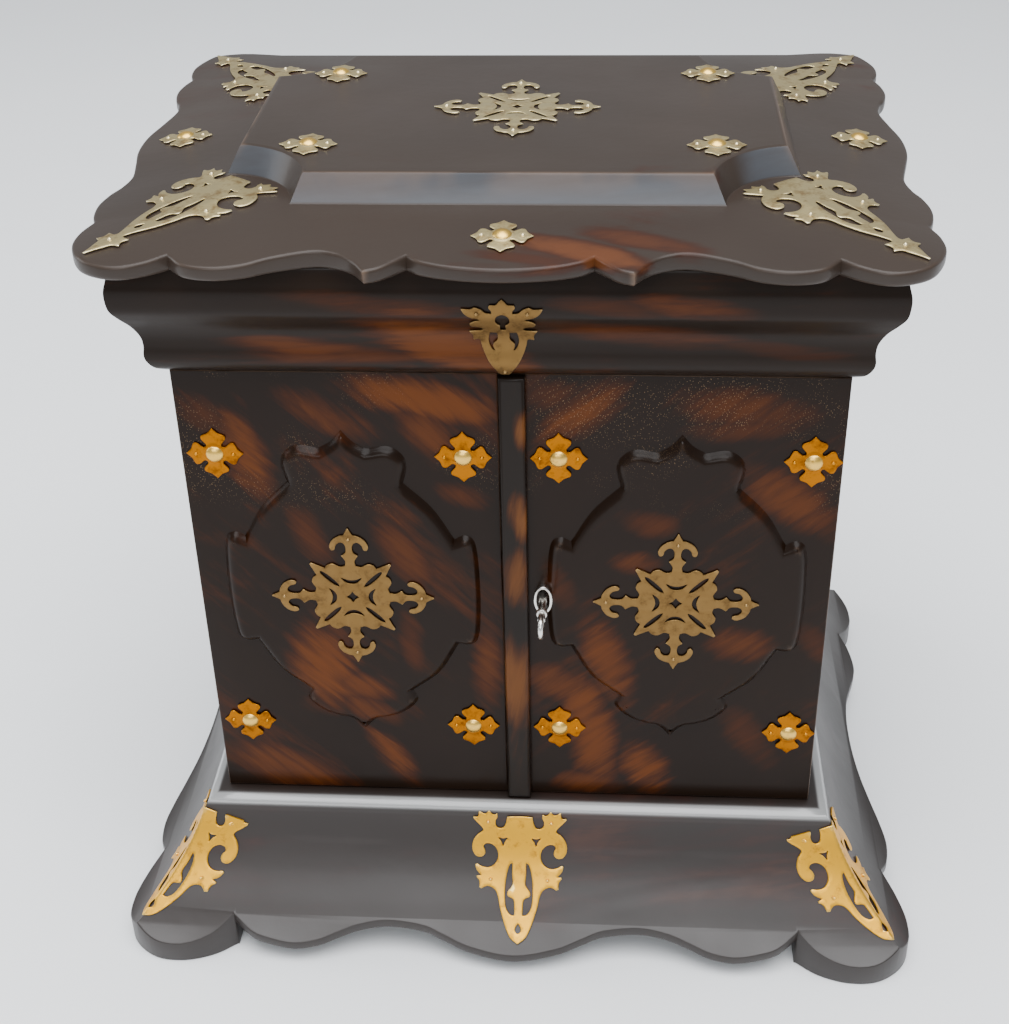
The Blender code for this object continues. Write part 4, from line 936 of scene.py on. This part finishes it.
medallion_loops = [trace([p for k in range(4) for p in spun(ARM, k, MM)], 3), trace(spun(EYE_HOLE, 0, MM), 2)]
for k in range(4):
    medallion_loops += [trace(spun(SLIT, k, MM), 3), trace(spun(CRESCENT, k, MM), 3)]
medallions = [("left_door_medallion", "left_door", aged_brass, "aged_brass",
               Matrix.Translation((FACE_MID - CARTOUCHE_X, FACE_Y - CARTOUCHE_RISE, CARTOUCHE_Z)) @ lying),
              ("right_door_medallion", "right_door", aged_brass, "aged_brass",
               Matrix.Translation((FACE_MID + CARTOUCHE_X, FACE_Y - CARTOUCHE_RISE, CARTOUCHE_Z)) @ lying),
              ("lid_medallion", "lid", lid_brass, "pale_brass", Matrix.Translation((0, 0, PANEL_Z)))]
for node, body, metal, slot, at in medallions:
    bm = sheet(medallion_loops)
    pinned(bm, [(ARM_PIN, 0), (0, ARM_PIN), (-ARM_PIN, 0), (0, -ARM_PIN)])
    bm.transform(at)
    settle(bm, f"pierced_{node}", metal, body, node, sharp=50)

# Lance mounts: pierced brass with a winged head, scrolls and leaves over a long lance, pinned through the
# wings and leaves. Four lie over the lid's corners and end in a finial, one is on the plinth's front and two
# are folded over its corners.
LANCE = [(6.3, 0.3, "corner"), (6.9, 3.6), (8.2, 6.1), (10.4, 6.4), (11.9, 4.9), (12.0, 2.6), (11.2, 0.8),
         (11.3, -1.3, "corner"), (13.2, -0.6), (15.4, -2.9, "corner"), (17.2, -0.9), (20.4, -2.4, "corner"),
         (20.9, 0.6), (24.0, 0.6, "corner"), (21.4, 3.6), (19.4, 5.6), (18.2, 7.8), (20.9, 9.9), (23.2, 13.4),
         (23.6, 17.6), (21.8, 21.0), (18.9, 21.5), (17.2, 19.8), (17.3, 17.7), (18.0, 16.0), (16.6, 14.6),
         (13.7, 15.0), (11.3, 17.4), (10.6, 20.9), (11.9, 24.4), (14.9, 26.6), (18.4, 26.4),
         (22.3, 24.3, "corner"), (21.3, 28.2), (18.8, 30.8, "corner"), (22.0, 31.0, "corner"), (19.8, 33.8),
         (19.9, 38.2, "corner"), (15.8, 36.0), (12.1, 37.6), (10.4, 41.0), (9.4, 46.0), (7.0, 54.0),
         (4.0, 60.8)]
LANCE_TIP = 64.1
FINIAL = [(2.2, 65.6), (2.7, 67.4, "corner"), (6.4, 67.2, "corner"), (5.6, 70.6), (7.2, 73.2, "corner"),
          (4.2, 74.6), (3.0, 77.6), (1.5, 81.6)]
FINIAL_TIP = 87.0
HOLES = [[(5.2, 11.0, "corner"), (7.2, 13.2), (8.2, 15.9, "corner"), (9.2, 13.2), (10.8, 11.2, "corner"),
          (8.0, 11.9)],
         [(3.4, 24.2, "corner"), (3.5, 30.0), (3.2, 35.0), (5.6, 38.6), (5.4, 40.8), (2.6, 42.4), (2.1, 46.4),
          (2.0, 50.2, "corner"), (4.3, 49.6), (6.3, 46.2), (6.9, 40.0), (6.5, 32.0), (5.0, 25.6)]]
DROP = [(0, 53.9, "corner"), (-1.2, 56.0), (-1.4, 57.8), (0, 59.0), (1.4, 57.8), (1.2, 56.0)]
LANCE_PINS = [(15.7, 3.3), (14.2, 32.6)]
FINIAL_PIN = 72.0


def scaled(points, flip=1):
    return [(flip * x * MM, y * MM, *rest) for x, y, *rest in points]


def lance(finial):
    """The flat mount, with its axis along +y from its head."""
    half = LANCE + (FINIAL if finial else [])
    tip = FINIAL_TIP if finial else LANCE_TIP
    loops = [trace(scaled(mirrored([(0, 0.0)] + half + [(0, tip, "corner")])), 3), trace(scaled(DROP), 3)]
    for hole in HOLES:
        loops += [trace(scaled(hole), 3), trace(scaled(hole, -1), 3)]
    bm = sheet(loops, dots(loops, 0.0014))
    pins = [(sign * x, y) for x, y in LANCE_PINS for sign in (-1, 1)] + ([(0, FINIAL_PIN)] if finial else [])
    pinned(bm, pins, 0.0011)
    return bm


LID_TIP = Vector((HALF_W + 0.0221, -HALF_D - 0.0225, 0))
MOUNT_TURN = radians(53.7)
along = Vector((cos(MOUNT_TURN), -sin(MOUNT_TURN), 0))
lie = Matrix.Translation(LID_TIP - along * FINIAL_TIP * MM) @ Matrix.Rotation(-MOUNT_TURN - pi / 2, 4, "Z")
for name, sx, sy in (("front_right", 1, 1), ("front_left", -1, 1), ("back_right", 1, -1),
                     ("back_left", -1, -1)):
    bm = lance(True)
    bm.transform(lie)
    settle(bm, f"lid_lance_{name}", lid_brass, "lid", f"lid_corner_mount_{name}", sharp=50,
           place=lambda x, y, z: (sx * x, sy * y, roof_z(x, y) + z))

arc_from = asin((arc_z - shoulder_z) / COVE_R)
BASE_MOUNT_X = 0.0026


def over_sweep(distance, lift):
    """(out, height) at a distance along the sweep from the shoulder and so far off its face."""
    angle = arc_from + distance / COVE_R
    return arc_out - (COVE_R - lift) * cos(angle), arc_z - (COVE_R - lift) * sin(angle)


def front_spot(x, y, z):
    out, height = over_sweep(y, z)
    return x + BASE_MOUNT_X, -HALF_D - out, height


# The length along the ridge at each distance along the sweep
RIDGE_STEP = 0.0005
sweep_arcs = np.arange(400) * RIDGE_STEP
lengthening = np.sqrt(1 + np.sin(arc_from + sweep_arcs / COVE_R) ** 2)
ridge_lengths = np.concatenate([[0], np.cumsum(lengthening[:-1]) * RIDGE_STEP])


def ridge_spot(x, y, z):
    """Folds the plate over the ridge between the front and the right side, square to the ridge."""
    arc = float(np.interp(y, ridge_lengths, sweep_arcs))
    slope = sin(arc_from + arc / COVE_R)
    long = sqrt(1 + slope ** 2)
    out, height = over_sweep(arc + abs(x) * slope / long, z)
    to_ridge = over_sweep(arc, z)[0] - abs(x) / long
    if x > 0:
        return HALF_W + to_ridge, -HALF_D - out, height
    return HALF_W + out, -HALF_D - to_ridge, height


def ridge_left(x, y, z):
    x, y, z = ridge_spot(x, y, z)
    return -x, y, z


for name, node, spot in (("front", "base_mount_front", front_spot),
                         ("right", "base_corner_mount_right", ridge_spot),
                         ("left", "base_corner_mount_left", ridge_left)):
    settle(lance(False), f"base_lance_{name}", base_brass, "case", node, sharp=50, place=spot)

# The lock plate: brass sheet pressed to the cornice's moulding, pierced for the key, and pinned at its wings
# and its lower tip.
LOCK = [(0, 42.4, "corner"), (1.2, 41.4), (2.2, 40.2), (3.2, 39.9), (5.0, 39.8), (5.3, 38.4), (4.4, 37.2),
        (4.3, 36.0, "corner"), (6.6, 36.3), (8.4, 37.9), (11.0, 38.8), (13.0, 38.0), (16.6, 38.2, "corner"),
        (15.2, 35.6), (12.6, 33.8), (10.2, 33.2), (9.0, 32.4, "corner"), (11.6, 31.8), (13.4, 30.2),
        (12.6, 28.6), (10.0, 28.2), (8.2, 27.2, "corner"), (9.0, 26.0), (14.0, 25.4, "corner"), (12.6, 22.8),
        (12.6, 20.2, "corner"), (10.0, 20.4), (9.4, 17.6), (8.2, 13.4), (6.2, 9.0), (3.4, 4.6), (1.8, 2.0),
        (0, 1.4)]
KEYHOLE = [(0, 26.2, "corner"), (1.1, 26.2, "corner"), (1.1, 29.2, "corner"), (2.5, 30.6), (2.9, 32.4),
           (2.2, 34.4), (0, 35.4)]
LOCK_SLIT = [(2.6, 24.4, "corner"), (5.4, 24.6, "corner"), (6.2, 20.6), (5.6, 16.8), (3.4, 13.4, "corner"),
             (4.4, 16.2), (4.3, 18.2), (2.6, 20.4)]
LOCK_PINS = [(10.3, 36.0), (-10.3, 36.0), (0, 4.2)]
cornice_outs, cornice_zs = (np.array(column) for column in zip(*cornice_face))
NEAR = 0.0004             # between two heights that give the moulding's lean


def cornice_spot(x, y, z):
    height = cornice_low.z + y
    out, next_out = np.interp([height, height + NEAR], cornice_zs, cornice_outs)
    lean = atan((next_out - out) / NEAR)
    return x, -HALF_D - out - z * cos(lean), height - z * sin(lean)


lock_loops = [trace(scaled(mirrored(LOCK)), 3), trace(scaled(mirrored(KEYHOLE)), 3),
              trace(scaled(LOCK_SLIT), 3), trace(scaled(LOCK_SLIT, -1), 3)]
bm = sheet(lock_loops, dots(lock_loops, 0.0012))
pinned(bm, LOCK_PINS)
settle(bm, "pierced_lock_plate", aged_brass, "case", "lock_plate", sharp=50, place=cornice_spot)

# The keyhole ring and the key: a plain nickelled oval let into the right door round the keyhole, and a small
# steel key with a round bow, left standing in the lock. Both are bright.
nickel = brass("key_metal", colour(0.66, 0.64, 0.60), colour(0.38, 0.35, 0.31), 0.3, 0.20,
               colour(0.95, 0.94, 0.90))
RING_X = 0.0148
RING_Z = 0.12025
RING_W = 0.0088
RING_H = 0.0154
RING_LIP = 0.0014
RING_T = 0.0032
RING_EASE = 0.0006
ring = board([oval(RING_W, RING_H), oval(RING_W - 2 * RING_LIP, RING_H - 2 * RING_LIP)], lambda x, y: RING_T,
             lambda x, y: 0.0, RING_EASE, lower=LEAST_EASE)
ring.transform(Matrix.Translation((RING_X, FACE_Y, body_low.z + RING_Z)) @ lying)
settle(ring, "oval_keyhole_ring", nickel, "right_door", "keyhole_ring", sharp=50)

KEY_R = 0.0017
KEY_RISE = 0.0017
KEY_IN = 0.0045
KEY_OUT = 0.0250
BOW_R = 0.0046
WIRE_R = 0.0012
KEY_COLLAR_R = 0.0027
KEY_COLLAR_OUT = 0.0150
# The collar's edge: (under its full radius, along the shank from its middle)
COLLAR_LINE = [(KEY_COLLAR_R - KEY_R, 0.0014), (0.0004, 0.0012), (0, 0.0005)]
key_line = [(KEY_R, -KEY_IN)]
key_line += [(KEY_COLLAR_R - under, KEY_COLLAR_OUT - along) for under, along in COLLAR_LINE]
key_line += [(KEY_COLLAR_R - under, KEY_COLLAR_OUT + along) for under, along in reversed(COLLAR_LINE)]
key_line.append((KEY_R, KEY_OUT - BOW_R))
key = loft([[(x, y, h) for x, y in oval(2 * r, 2 * r, 24)] for r, h in key_line])
bow = [[(wx, (BOW_R + wy) * c, KEY_OUT + (BOW_R + wy) * s) for wx, wy in oval(2 * WIRE_R, 2 * WIRE_R, 12)]
       for c, s in oval(2, 2)]
joined(key, bow, closed=True)
key.transform(Matrix.Translation((RING_X, FACE_Y, body_low.z + RING_Z + KEY_RISE)) @ lying)
settle(key, "door_key", nickel, "right_door", "key", sharp=40)

# The lid's hinges and the doors' turning pins: plain dulled brass. The hinges are screwed on at the back and
# the pins are let into the doors' edges, so they are seen only from behind or with the box open.
hinge_brass = brass("hinge_brass", colour(0.52, 0.38, 0.19), colour(0.28, 0.19, 0.09), 0.5, 0.36,
                    colour(0.72, 0.58, 0.36))
for name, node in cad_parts.items():
    if "hinge" in name or "pin" in name:
        node.data.materials.clear()
        node.data.materials.append(hinge_brass)
